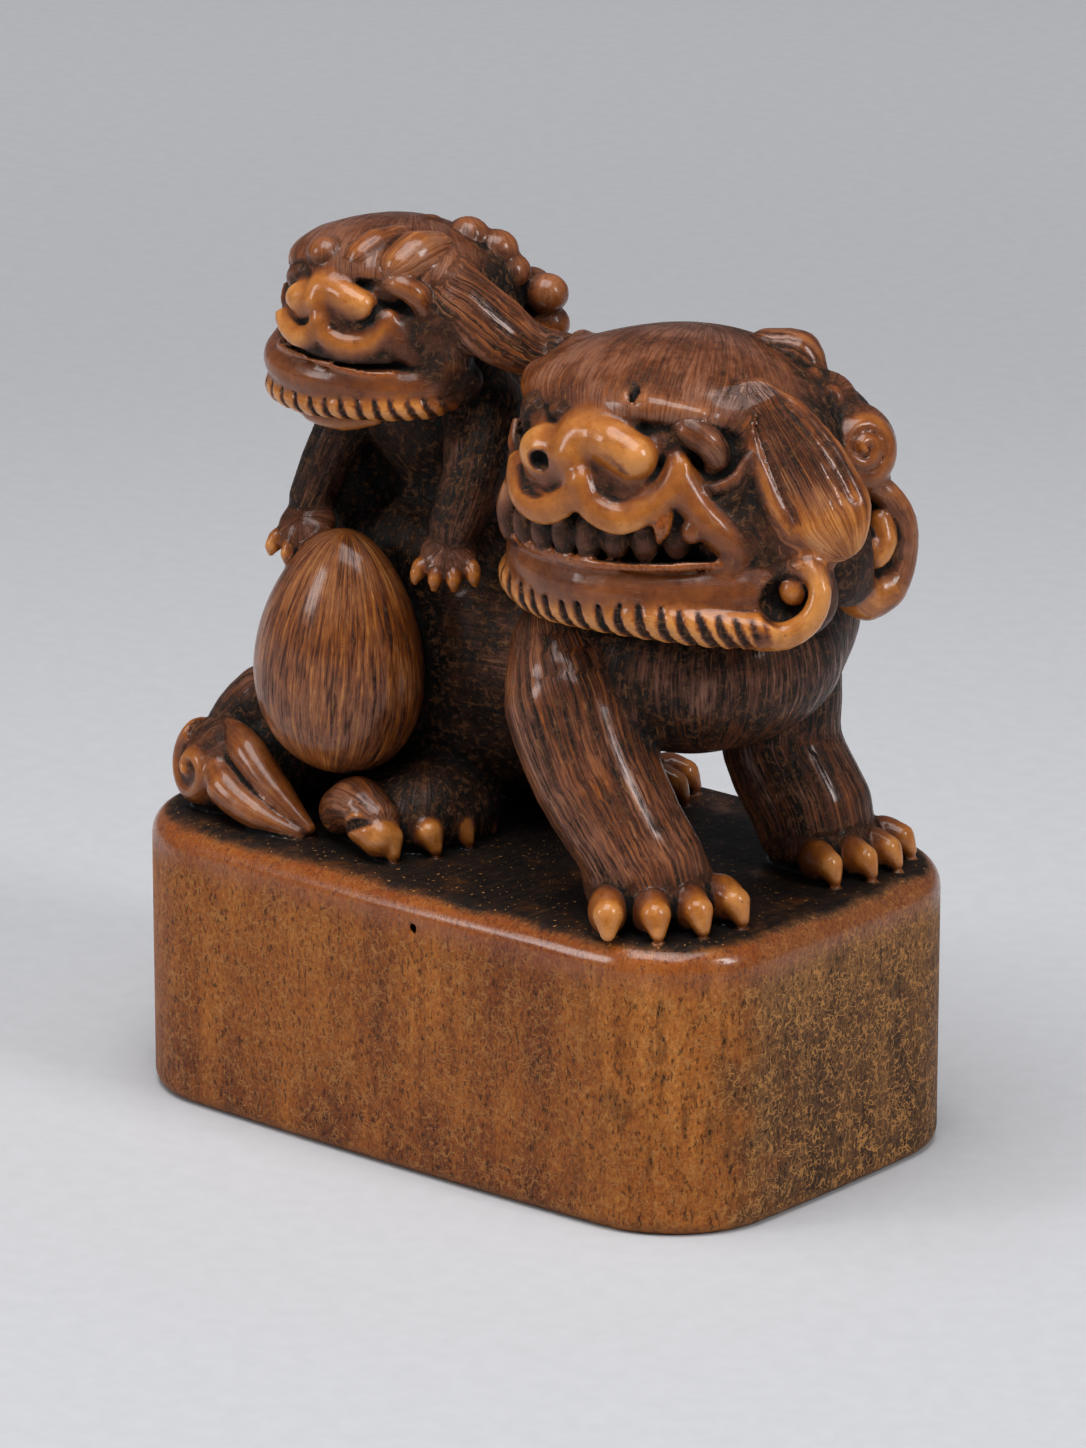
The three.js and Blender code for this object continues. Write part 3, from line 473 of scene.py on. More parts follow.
def mother_mane(c, head):
    """Rolled locks round the back of the head, with the big scroll behind the near ear."""
    c.limb([(3.0, 1.2, 4.9), (4.1, 1.8, 4.7), (4.9, 1.7, 3.9)], [0.9, 1.05, 0.7], head, blend=0.2, tone=0.42,
           streak=0.8)
    roll_of_hair(c, head, (5.9, 1.0, 3.0), (0.55, -0.65, 0.55), 1.45, turns=1.3, tone=0.5, start=150, hand=-1)
    roll_of_hair(c, head, (7.3, 0.9, 1.3), (0.8, -0.56, 0.25), 2.0, turns=2.4, tone=0.58, start=60, hand=-1)
    c.egg((5.8, 3.7, 1.2), (0.95, 0.95, 0.95), head, blend=0.2, tone=0.4, streak=0.3)
    c.egg((6.4, 3.8, -0.9), (1.0, 1.0, 1.0), head, blend=0.2, tone=0.4, streak=0.3)
    c.egg((7.0, 2.6, 0.4), (1.0, 1.2, 1.3), head, blend=0.2, tone=0.35, streak=0.5)
    # The big scroll: a deep bowl with a thick band curling round it from above to its amber foot.
    c.egg((8.3, 1.9, -3.0), (1.25, 1.6, 2.5), head, blend=0.4, tone=0.1, streak=0.2)
    c.egg((9.5, 0.2, -2.6), (0.8, 1.0, 1.7), head, kind="cut", blend=0.15, tone=0.02, streak=0)
    band = [(7.9, 0.6, 0.1), (8.8, 1.2, -0.5), (9.25, 1.9, -1.8), (9.25, 1.9, -3.4), (9.0, 1.3, -4.6),
            (8.4, 0.6, -5.1), (8.2, -0.1, -4.7)]
    c.limb(band, [0.5, 0.6, 0.62, 0.65, 0.75, 0.8, 0.7], head, blend=0.2, tone=0.5, streak=0.5)
    amber_foot = [(8.9, 1.1, -4.6), (8.4, 0.4, -4.8), (8.3, -0.3, -4.4), (8.5, -0.5, -3.8)]
    c.limb(amber_foot, [0.8, 1.0, 0.95, 0.5], head, blend=0.3, tone=0.92, streak=0.2)
    inner_curl = [(8.8, 0.9, -1.6), (9.1, 0.7, -2.4), (9.0, 0.2, -3.0), (8.8, 0.1, -2.5)]
    c.limb(inner_curl, [0.5, 0.55, 0.5, 0.35], head, blend=0.1, tone=0.8, streak=0.2)
    # Three rows of rolls round the back: each row's height, radius, number of rolls and first angle.
    for z, r, count, first in [(2.1, 4.6, 5, 62), (0.2, 5.6, 6, 50), (-2.4, 5.7, 6, 54)]:
        for k in range(count):
            a = np.radians(first + k * (180 - first) / (count - 1))
            out = np.array([np.cos(a), np.sin(a), 0.18 * z])
            roll_of_hair(c, head, (r * np.cos(a), 0.3 + r * np.sin(a), z), out, 1.65, tone=0.45,
                         start=50 * k, hand=1 if k % 2 else -1)


def leaf_ear(c, head, middle, radii, normal, squeeze, tone, tip_tone, ribs=0, width=0.2):
    """An ear like a leaf laid back on the mane, its front edge rolled, parted along its length into ribs."""
    n = unit(normal)
    steps = 12
    line = spline(middle, steps)
    wide = unit(np.cross(line[-1] - line[0], n))
    c.limb(middle, radii, head, flat=n, squeeze=squeeze, blend=0.7, tone=tone, streak=1.0)
    half = np.interp(np.linspace(0, 1, steps + 1), np.linspace(0, 1, len(radii)), radii)
    c.egg(line[steps], (2.0, 2.0, 1.5), head, kind="stain", blend=1.6, tone=tip_tone, streak=0.7)
    stops = (1, 4, 7, 10)
    for k in range(ribs):
        across = (2 * (k + 1) / (ribs + 1) - 1) * 0.9
        lift = squeeze * np.sqrt(1 - across**2) + 0.02
        path = [line[j] + (wide * across + n * lift) * half[j] + n * 0.25 * width for j in stops]
        c.groove(path, width, head, tone=None, steps=6)
    edge = [line[j] + wide * 0.9 * half[j] + n * 0.25 for j in stops]
    c.limb(edge, [0.25, 0.34, 0.36, 0.3], head, blend=0.2, tone=tip_tone, streak=0.3)


def mother_eyes(c, head):
    """Comma-shaped bulges in dark sockets, with folds of lid below and a bump beside each."""
    for s in SIDES:
        near = s > 0
        side = np.array([s, 1, 1])
        eye = sunk(np.array(MOTHER["eye"]) * side, 0.5 if near else 0.9)
        # The far eye is toned darker than the near one: painted shade under the cap's edge on the side turned
        # away.
        c.limb(eye, [0.4, 0.62, 0.66, 0.55, 0.35], head, blend=0.12, tone=0.27 if near else 0.12, streak=0.3)
        for low, deep in ((0.0, 0.1), (-0.7, 0.1), (-1.4, 0.2)):
            lid = np.array([(4.3, -7.1, 1.25), (5.3, -6.9, 1.0), (6.1, -6.4, 1.4), (6.4, -5.9, 2.2)])
            c.limb(sunk((lid + (0, 0, low)) * side, deep), [0.15, 0.28, 0.28, 0.15], head, blend=0.12,
                   tone=0.2, streak=0.2)
        c.egg((s * 1.7 - 0.2, -7.35, 3.45), (0.8, 0.55, 0.42), head, blend=0.15, tone=0.24, streak=0.2)


def mother_head(c):
    head = WORLD.turned(MOTHER["at"], yaw=MOTHER["yaw"], size=MOTHER["size"])
    skull(c, head)
    muzzle(c, head, MOTHER)
    brow_ridge = np.array(MOTHER["brow"][:-1]) + (0, 0.5, 0.12)
    c.limb(brow_ridge, [0.1, 0.35, 0.42, 0.42, 0.4, 0.12], head, blend=0.9, tone=0.5, streak=0.42,
           combed=False)
    jaw(c, head, MOTHER)
    for k, x in enumerate(np.linspace(-4.5, 5.1, MOTHER_TEETH)):
        tooth = (x, -8.4 + 0.072 * x * x, -1.35 + 0.06 * x)
        c.egg(tooth, (0.66, 0.55, 1.15 - 0.12 * (k % 2)), head, blend=0.05, tone=0.24, streak=0)
    nose_and_lips(c, head, MOTHER)
    # The left nostril, the slit of the right one, the fang with a tooth beside it, and a near-black form
    # between cheek and ear whose tone is painted shade.
    c.egg((-1.95, -9.0, 1.6), (0.5, 0.7, 0.4), head, kind="cut", blend=0.12, tone=0.0, streak=0)
    c.groove([(1.3, -9.15, 2.35), (1.85, -9.2, 2.0), (2.4, -8.95, 1.65)], 0.2, head, tone=0.02)
    c.limb([(3.6, -8.0, 0.0), (3.8, -8.3, -0.6), (3.65, -8.3, -1.15)], [0.5, 0.36, 0.14], head, blend=0.15,
           tone=STAND_TONE, streak=0)
    c.egg((4.8, -7.6, -0.75), (0.5, 0.4, 0.5), head, blend=0.2, tone=0.35, streak=0)
    # Painted shade: a near-black form filling the hollow between cheek and ear.
    c.egg((7.2, -4.5, -1.5), (1.1, 1.2, 1.6), head, blend=0.4, tone=0.05, streak=0.2)
    mother_eyes(c, head)
    # Notches where the hair parts over the brow.
    for x, y, z in ((1.72, -7.45, 4.0), (-2.3, -6.35, 3.8)):
        c.groove([(x, y, z - 0.2), (x + 0.1, y + 0.15, z + 0.4), (x - 0.35, y + 0.75, z + 0.95)], 0.22, head,
                 tone=0.08)
    beard(c, head, MOTHER, count=22, lean=1.0)
    # The scroll at the jaw's corner, which the fringe runs into.
    c.egg((7.9, -4.6, -3.6), (2.0, 1.5, 1.85), head, blend=0.3, tone=0.15, streak=0.1)
    c.egg((8.55, -6.2, -3.5), (1.15, 1.1, 1.1), head, kind="cut", blend=0.15, tone=0.02, streak=0)
    scroll = [(7.6, -6.7, -5.0), (8.6, -6.25, -4.9), (9.45, -5.75, -4.2), (9.65, -5.35, -3.1),
              (9.0, -5.2, -2.3), (8.1, -5.3, -2.4)]
    c.limb(scroll, [0.6, 0.58, 0.52, 0.47, 0.4, 0.25], head, blend=0.15, tone=0.85, streak=0.1)
    c.egg((8.6, -1.4, -2.9), (1.0, 2.0, 1.9), head, blend=0.4, tone=0.03, streak=0.2)
    c.egg((8.35, -5.35, -3.25), (0.62, 0.55, 0.62), head, blend=0.1, tone=0.8, streak=0)
    # The ears, the near one hanging over a dark hollow.
    c.egg((6.7, -2.4, 0.8), (1.6, 2.4, 3.0), head, blend=0.8, tone=0.05, streak=0.3)
    near_ear = [(6.0, -4.3, 4.4), (7.0, -4.3, 3.2), (8.1, -4.2, 1.6), (8.95, -4.05, 0.1), (9.4, -3.95, -0.7)]
    leaf_ear(c, head, near_ear, [0.85, 1.5, 1.9, 2.0, 1.45], (0.5, -0.8, 0.35), squeeze=0.38, tone=0.36,
             tip_tone=0.86, ribs=7, width=0.19)
    far_ear = [(-4.9, -1.6, 4.2), (-6.0, -0.6, 2.8), (-6.7, 0.8, 0.8), (-6.7, 1.6, -0.6)]
    leaf_ear(c, head, far_ear, [1.0, 1.5, 1.6, 1.1], (-0.9, -0.25, 0.3), squeeze=0.42, tone=0.42,
             tip_tone=0.88, ribs=5, width=0.19)
    mother_mane(c, head)


def cub_mane(c, head):
    """Plain round curls behind the near ear and round the back of the head."""
    for p in ((4.3, 0.9, 4.6), (5.9, 1.7, 3.8), (6.7, 1.9, 2.4), (8.9, 2.8, 1.1), (7.4, 3.4, 1.2),
              (8.7, 3.3, -1.0)):
        c.egg(p, (1.45, 1.35, 1.3), head, blend=0.25, tone=0.42, streak=0.3)
    c.egg((1.9, 0.2, 5.1), (1.0, 1.0, 0.8), head, blend=0.25, tone=0.42, streak=0.3)
    # Three rows round the back: each row's height, radius, number of curls and first angle.
    for z, r, count, first in [(2.6, 4.6, 4, 50), (0.6, 5.8, 4, 55), (-1.4, 5.6, 3, 70)]:
        for k in range(count):
            a = np.radians(first + k * (150 - first) / (count - 1))
            c.egg((r * np.cos(a), 0.6 + r * np.sin(a), z), (1.4, 1.4, 1.4), head, blend=0.25, tone=0.42,
                  streak=0.3)


def cub_head(c):
    head = WORLD.turned(CUB["at"], yaw=CUB["yaw"], size=CUB["size"])
    skull(c, head)
    muzzle(c, head, CUB)
    # Three cushions of hair over the brow, each running back into the cap.
    c.egg((-1.7, -6.35, 4.3), (1.3, 1.25, 1.15), head, blend=0.1, tone=0.38, streak=0.3)
    c.limb([(0.9, -6.25, 4.3), (1.3, -5.2, 4.75), (1.9, -3.6, 5.1)], [1.15, 1.25, 0.9], head, blend=0.15,
           tone=0.56, streak=0.5)
    c.limb([(3.6, -6.0, 3.95), (4.0, -4.9, 4.5), (4.3, -3.2, 4.6)], [1.45, 1.6, 1.2], head, blend=0.15,
           tone=0.58, streak=0.5)
    jaw(c, head, CUB)
    # Painted shade: a near-black form filling between the jaw's right end and the cheek.
    c.egg((6.0, -4.9, -2.0), (1.7, 2.0, 2.0), head, blend=0.6, tone=0.08, streak=0.2)
    inner_lip = [(-3.6, -7.8, -0.9), (-1.0, -8.6, -1.15), (1.5, -8.5, -1.4), (3.6, -7.7, -1.4)]
    c.limb(inner_lip, [0.4, 0.55, 0.55, 0.45], head, blend=0.2, tone=0.14, streak=0)
    nose_and_lips(c, head, CUB)
    for s in SIDES:
        near = s > 0
        side = np.array([s, 1, 1])
        eye = sunk(np.array(CUB["eye"]) * side, 0.5 if near else 0.9)
        # The far eye is toned darker than the near one: painted shade on the side turned away.
        c.limb(eye, [0.5, 0.75, 0.8, 0.5], head, blend=0.12, tone=0.5 if near else 0.2, streak=0.4)
        lid = np.array([(4.5, -7.0, 0.6), (5.5, -6.8, 0.4), (6.4, -6.3, 0.9), (6.7, -5.8, 1.7)])
        c.limb(sunk(lid * side, 0.3), [0.2, 0.35, 0.35, 0.2], head, blend=0.2, tone=0.2, streak=0.2)
    beard(c, head, CUB, count=18, lean=0.9)
    # Painted shade darkening the jaw's corner, laid on as a form that only changes the colour; the flap under
    # the fringe and the left nostril.
    c.egg((8.0, -4.4, -3.4), (2.6, 3.0, 2.4), head, kind="stain", blend=2.4, tone=0.05, streak=0.2)
    flap = [(-5.3, -4.3, -5.7), (-3.0, -5.8, -6.1), (-0.4, -6.4, -6.2), (1.8, -6.2, -6.0)]
    c.limb(flap, [0.6, 0.85, 0.8, 0.4], head, blend=0.3, tone=0.6, streak=0.1)
    c.limb([(-2.8, -9.3, 1.2), (-3.2, -9.0, 1.7)], [0.32, 0.3], head, kind="cut", blend=0.15, tone=0.05,
           streak=0)
    near_ear = [(5.0, -4.6, 3.6), (6.8, -4.4, 2.2), (8.6, -3.4, 0.3), (10.2, -2.0, -1.2), (12.0, -0.6, -1.2)]
    leaf_ear(c, head, near_ear, [1.3, 2.1, 2.3, 1.9, 1.0], (0.55, -0.6, 0.55), squeeze=0.45, tone=0.4,
             tip_tone=0.22)
    far_ear = [(-4.6, -2.6, 3.4), (-5.6, -1.0, 2.2), (-6.0, 0.8, 0.4), (-5.4, 2.6, -1.0)]
    leaf_ear(c, head, far_ear, [1.0, 1.4, 1.4, 0.8], (-0.9, -0.3, 0.3), squeeze=0.5, tone=0.4,
             tip_tone=0.25)
    cub_mane(c, head)


def paw(c, x, y, z=SOLE, yaw=0, roll=0, size=1.0, tone=0.3, claw=0.72):
    """Toes side by side, pointing along local +x, with z up from the sole."""
    place = WORLD.turned((x, y, z), yaw=yaw, roll=roll, size=size)
    c.egg((0, 0, 1.1), (2.5, 2.5, 1.45), place, blend=0.6, tone=tone, streak=0.5)
    for k in range(TOES):
        a = k - (TOES - 1) / 2
        toe = place.turned((2.2 - 0.28 * a * a, a * 1.5, 0), yaw=12 * a)
        c.egg((0, 0, 0.95), (1.15, 0.76, 0.95), toe, blend=0.12, tone=tone + 0.2, streak=0.2)
        c.limb([(0.2, 0, 1.4), (0.8, 0, 1.05), (1.25, 0, 0.45)], [0.4, 0.6, 0.3], toe, blend=0.07,
               tone=claw, streak=0)


def mother_body(c):
    """Trunk, shoulders and chest, then forelegs, haunches and hind feet."""
    c.limb([(-8.5, 0.9, 20.2), (-3, 0.9, 21.0), (3, 0.6, 21.6), (8, 0, 22.6)], [5.0, 4.7, 4.5, 4.3],
           blend=1.0, tone=0.2, streak=0.35)
    c.egg((-5.5, 0.4, 24.6), (4.8, 4.2, 3.3), blend=0.8, tone=0.2, streak=0.3)
    c.limb([(-7, 0.6, 17.0), (-3, 0.4, 17.6), (0, 0.4, 18.6)], [3.6, 3.5, 3.0], blend=1.2, tone=0.14,
           streak=0.35)
    c.egg((9.2, -0.2, 22.9), (6.0, 6.4, 4.2), turn=(12, 0, 0), blend=1.0, tone=0.2, streak=0.8)
    c.egg((10.8, 3.6, 24.0), (3.0, 3.2, 3.2), blend=0.8, tone=0.2, streak=0.8)
    c.limb([(7.8, 0.4, 24), (8.2, 0.4, 30)], [5.5, 5.5], blend=1.0, tone=0.08, streak=0.3)
    # The forelegs.
    near_leg = [(6.0, -5.2, 23.2), (6.9, -6.1, 21.3), (8.3, -6.3, 18.6), (10.0, -6.2, 16.2),
                (10.8, -5.9, 14.8)]
    c.limb(near_leg, [2.6, 2.9, 2.75, 2.5, 2.5], blend=0.8, tone=0.42, streak=1.0)
    paw(c, 10.9, -5.7, yaw=-32, size=1.12)
    c.limb([(8.6, 4.6, 23.0), (9.4, 4.8, 20.5), (9.6, 4.7, 17.5), (11.3, 4.7, 14.9)], [2.6, 2.65, 2.6, 2.6],
           blend=0.8, tone=0.3, streak=0.9)
    paw(c, 11.95, 4.6)
    # The haunches.
    c.egg((-6.55, -5.8, 21.0), (4.1, 3.0, 5.5), turn=(0, 0, 5), taper=0.2, blend=0.25, tone=0.62, streak=1.0)
    c.egg((-5.2, 5.6, 20.6), (4.6, 3.0, 5.2), turn=(0, 0, 4), taper=0.16, blend=0.4, tone=0.45, streak=1.0)
    # The hind feet; the near one has a big toe with its claw and the groove of its knuckle.
    c.egg((-3.7, -3.4, 13.7), (3.0, 3.6, 2.5), blend=0.5, tone=0.14, streak=0.4)
    paw(c, -4.4, -4.5, yaw=-8, size=1.05, tone=0.22, claw=0.8)
    c.limb([(-5.8, -6.4, 14.0), (-4.5, -7.0, 14.7), (-3.2, -7.3, 14.3)], [1.15, 1.2, 0.95], blend=0.25,
           tone=0.44, streak=0.8)
    c.limb([(-3.5, -7.5, 14.1), (-2.7, -7.6, 13.7), (-2.3, -7.5, 13.3)], [1.0, 0.9, 0.5], blend=0.04,
           tone=0.74, streak=0.1)
    c.groove([(-4.6, -8.2, 13.6), (-3.6, -8.4, 14.3), (-2.6, -8.2, 14.6)], 0.2, tone=0.05)
    c.egg((-2.9, -3.9, 13.6), (0.8, 0.75, 0.8), blend=0.05, tone=0.85, streak=0)
    c.egg((-3.0, 5.0, 13.7), (3.4, 3.0, 2.0), blend=0.5, tone=0.14, streak=0.3)
    paw(c, -0.8, 5.6, yaw=4, tone=0.22, claw=0.6)


def tail(c):
    """A stump of hair, a snail of a curl and two long locks with a deep groove between."""
    c.egg((-11.6, -3.6, 15.2), (2.6, 2.6, 3.0), blend=0.5, tone=0.1, streak=0.3)
    c.limb([(-10.6, -3.6, 18.4), (-12.2, -4.5, 17.4), (-13.6, -4.8, 15.8), (-14.0, -5.0, 14.0)],
           [1.2, 1.5, 1.4, 1.2], blend=0.3, tone=0.2, streak=0.7)
    c.limb([(-12.0, 0.5, 15), (-13.2, 1.0, 18), (-12.2, 1.2, 21.5)], [2.4, 2.6, 1.0], blend=0.6, tone=0.2,
           streak=0.6)
    roll_of_hair(c, WORLD, (-13.2, -6.4, 14.5), (-0.28, -0.94, 0.12), 2.15, turns=1.5, tone=0.62, start=60,
                 hand=-1)
    c.limb([(-12.8, -6.0, 16.2), (-11.1, -6.8, 15.6), (-9.0, -7.2, 14.2), (-7.1, -7.3, 13.1)],
           [0.6, 0.85, 0.75, 0.3], blend=0.1, tone=0.56, streak=0.3)
    c.limb([(-13.0, -6.9, 15.4), (-11.5, -7.8, 14.2), (-9.4, -8.0, 13.4), (-7.4, -7.7, 12.9)],
           [0.6, 0.9, 0.7, 0.3], blend=0.1, tone=0.62, streak=0.3)


def cub_body(c):
    """The cub's trunk, then its arms with their small paws, and its legs over the mother's back."""
    c.egg((-8.6, 0.9, 26.4), (3.3, 2.6, 3.8), blend=0.6, tone=0.02, streak=0.2)
    c.limb([(-6.2, -1.4, 33.6), (-5.6, -0.4, 31.0), (-5.0, 3.6, 29.2), (-4.8, 6.0, 25.5)],
           [3.0, 3.2, 3.3, 3.2], blend=0.6, tone=0.1, streak=0.3)
    c.egg((-5.0, 0.8, 28.4), (4.8, 3.0, 3.6), blend=0.6, tone=0.03, streak=0.2)
    c.egg((-8.9, -1.5, 26.6), (1.7, 2.2, 2.8), blend=0.5, tone=0.03, streak=0.2)
    c.limb([(-7.9, -2.4, 31.8), (-8.6, -3.9, 29.4), (-9.1, -4.7, 27.2)], [1.5, 1.1, 1.0], blend=0.4,
           tone=0.08, streak=0.5)
    paw(c, -8.9, -5.0, 25.7, yaw=-75, roll=45, size=0.52, tone=0.35, claw=0.75)
    c.limb([(-1.9, -1.6, 31.8), (-1.0, -3.3, 29.4), (-1.3, -4.1, 27.2)], [1.8, 1.35, 1.2], blend=0.4,
           tone=0.1, streak=0.5)
    paw(c, -1.5, -4.3, 25.6, yaw=-60, roll=38, size=0.5, tone=0.22, claw=0.5)
    for x, out in ((-7.6, -1), (-2.2, 1)):
        c.limb([(x, 4.6, 28.0), (x + out * 1.1, 6.2, 25.4), (x + out * 0.7, 6.6, 23.2)], [2.0, 1.9, 1.2],
               blend=0.5, tone=0.3, streak=0.8)


def figure():
    c = Carving()
    mother_body(c)
    tail(c)
    cub_body(c)
    mother_head(c)
    cub_head(c)
    # The stand, with a pit near its upper edge, and a chip and a short crack at its foot.
    c.block(LENGTH, WIDTH, HEIGHT, CORNER, BELLY, TOP_EDGE, FOOT_EDGE)
    c.egg((1.6, -10.1, 11.2), (0.34, 0.3, 0.3), kind="cut", turn=(0, 0, 40), blend=0.08, tone=0.02,
          streak=None)
    c.egg((12.2, -10.2, 0.15), (0.75, 0.3, 0.28), kind="cut", blend=0.1, tone=None, streak=None)
    c.groove([(9.2, -10.4, 0.3), (9.3, -10.38, 0.9), (9.15, -10.38, 1.5)], 0.1, tone=None)
    return c


def skin(low, step, field):
    """The lattice's surface: one point in each cell it crosses, one four-sided face round each crossed
    edge."""
    inside = field < 0
    count = np.zeros(np.array(field.shape) - 1, np.uint8)
    corners = [(a, b, c) for a in (0, 1) for b in (0, 1) for c in (0, 1)]
    n = field.shape
    for a, b, c in corners:
        count += inside[a:n[0] - 1 + a, b:n[1] - 1 + b, c:n[2] - 1 + c]
    cells = np.argwhere((count > 0) & (count < 8))
    number = np.full(count.shape, -1, np.int32)
    number[tuple(cells.T)] = np.arange(len(cells))
    total, hits = np.zeros((len(cells), 3)), np.zeros(len(cells))
    for p in corners:
        for axis in range(3):
            if p[axis]:
                continue
            q = list(p)
            q[axis] = 1
            first = field[tuple((cells + p).T)]
            second = field[tuple((cells + q).T)]
            cross = (first < 0) != (second < 0)
            t = np.where(cross, first / np.where(cross, first - second, 1), 0)
            at = np.array(p, float)[None] + np.zeros((len(cells), 1))
            at[:, axis] = t
            total += at * cross[:, None]
            hits += cross
    points = (cells + total / hits[:, None]) * step + low
    quads = []
    for axis in range(3):
        u, v = [k for k in range(3) if k != axis]
        near = [slice(1, -1)] * 3
        near[axis] = slice(0, -1)
        far = list(near)
        far[axis] = slice(1, None)
        one, two = inside[tuple(near)], inside[tuple(far)]
        for leaving in (True, False):
            edge = np.argwhere((one == leaving) & (two != leaving))
            edge[:, u] += 1
            edge[:, v] += 1
            ring = []
            for du, dv in ((-1, -1), (0, -1), (0, 0), (-1, 0)):
                k = edge.copy()
                k[:, u] += du
                k[:, v] += dv
                ring.append(number[tuple(k.T)])
            flip = leaving ^ (axis == 1)
            quads.append(np.stack(ring if flip else ring[::-1], 1))
    return points, np.concatenate(quads)


def outer_skin(points, quads):
    """Keeps the one outer skin, and drops the closed bubbles left inside the wood."""
    label = np.arange(len(points))
    while True:
        least = label[quads].min(1)
        new = label.copy()
        np.minimum.at(new, quads.ravel(), np.repeat(least, 4))
        new = new[new]
        if (new == label).all():
            break
        label = new
    keep = label == np.bincount(label).argmax()
    number = np.cumsum(keep) - 1
    return points[keep], number[quads[keep[quads[:, 0]]]]


def share_of_wood(field, step, radius):
    """How much of a small box round each lattice point is wood: over a half in a hollow, and under it on
    a ridge."""
    reach = max(1, round(radius / step))
    solid = (field < 0).astype(np.float32)
    for axis in range(3):
        for _ in range(2):
            pad = [(0, 0)] * 3
            pad[axis] = (reach + 1, reach)
            total = np.cumsum(np.pad(solid, pad, mode="edge"), axis=axis, dtype=np.float64)
            n = solid.shape[axis]
            upper = np.take(total, np.arange(2 * reach + 1, 2 * reach + 1 + n), axis=axis)
            lower = np.take(total, np.arange(0, n), axis=axis)
            solid = ((upper - lower) / (2 * reach + 1)).astype(np.float32)
    return solid


def read_lattice(values, low, step, points):
    """The lattice's value at each point, from the eight corners round it."""
    g = (points - low) / step
    i = np.clip(np.floor(g).astype(int), 0, np.array(values.shape) - 2)
    f = np.clip(g - i, 0, 1)
    out = 0
    for a in (0, 1):
        for b in (0, 1):
            for c in (0, 1):
                w = np.abs(1 - a - f[:, 0]) * np.abs(1 - b - f[:, 1]) * np.abs(1 - c - f[:, 2])
                out = out + w * values[i[:, 0] + a, i[:, 1] + b, i[:, 2] + c]
    return out


# The lattice and the mesh: how fine the form is worked out, and how many triangles are kept.
STEP = 0.15
MOST_TRIANGLES = 196000
# How far round each point the wood is counted, for the fine hollows and for the broad recesses; deep in
# either, the colour is darkened as painted shade.
HOLLOW_REACH = 0.3
RECESS_REACH = 1.3
lions = figure()
low, field = lions.grid(STEP)
points, quads = outer_skin(*skin(low, STEP, field))
mesh = bpy.data.meshes.new("netsuke_carving")
mesh.from_pydata((points / 1000).tolist(), [], quads.tolist())
mesh.update()
carving = bpy.data.objects.new("netsuke_carving", mesh)
bpy.context.collection.objects.link(carving)
thin = carving.modifiers.new("thin", "DECIMATE")
thin.ratio = min(1, MOST_TRIANGLES / (2 * len(quads)))
skin_mesh = bpy.data.meshes.new_from_object(carving.evaluated_get(bpy.context.evaluated_depsgraph_get()))
carving.modifiers.clear()
carving.data = skin_mesh
skin_mesh.name = "netsuke_carving"
skin_mesh.shade_smooth()

# What the surface remembers at each point: its stain, strokes, hollows and wear; the hollows also set its
# painted shade.
at = np.empty(len(skin_mesh.vertices) * 3, np.float32)
skin_mesh.vertices.foreach_get("co", at)
at = at.reshape(-1, 3) * 1000
tone, streak, stand, grain = lions.finish_at(at)
hollow = read_lattice(share_of_wood(field, STEP, HOLLOW_REACH), low, STEP, at) - 0.5
recess = read_lattice(share_of_wood(field, STEP, RECESS_REACH), low, STEP, at) - 0.5
remembered = {"tone": tone, "streak": streak, "stand": stand, "hollow": hollow, "recess": recess}
for name, values in remembered.items():
    layer = skin_mesh.attributes.new(name, "FLOAT", "POINT")
    layer.data.foreach_set("value", values.astype(np.float32))
direction = skin_mesh.attributes.new("grain", "FLOAT_VECTOR", "POINT")
direction.data.foreach_set("vector", grain.astype(np.float32).ravel())


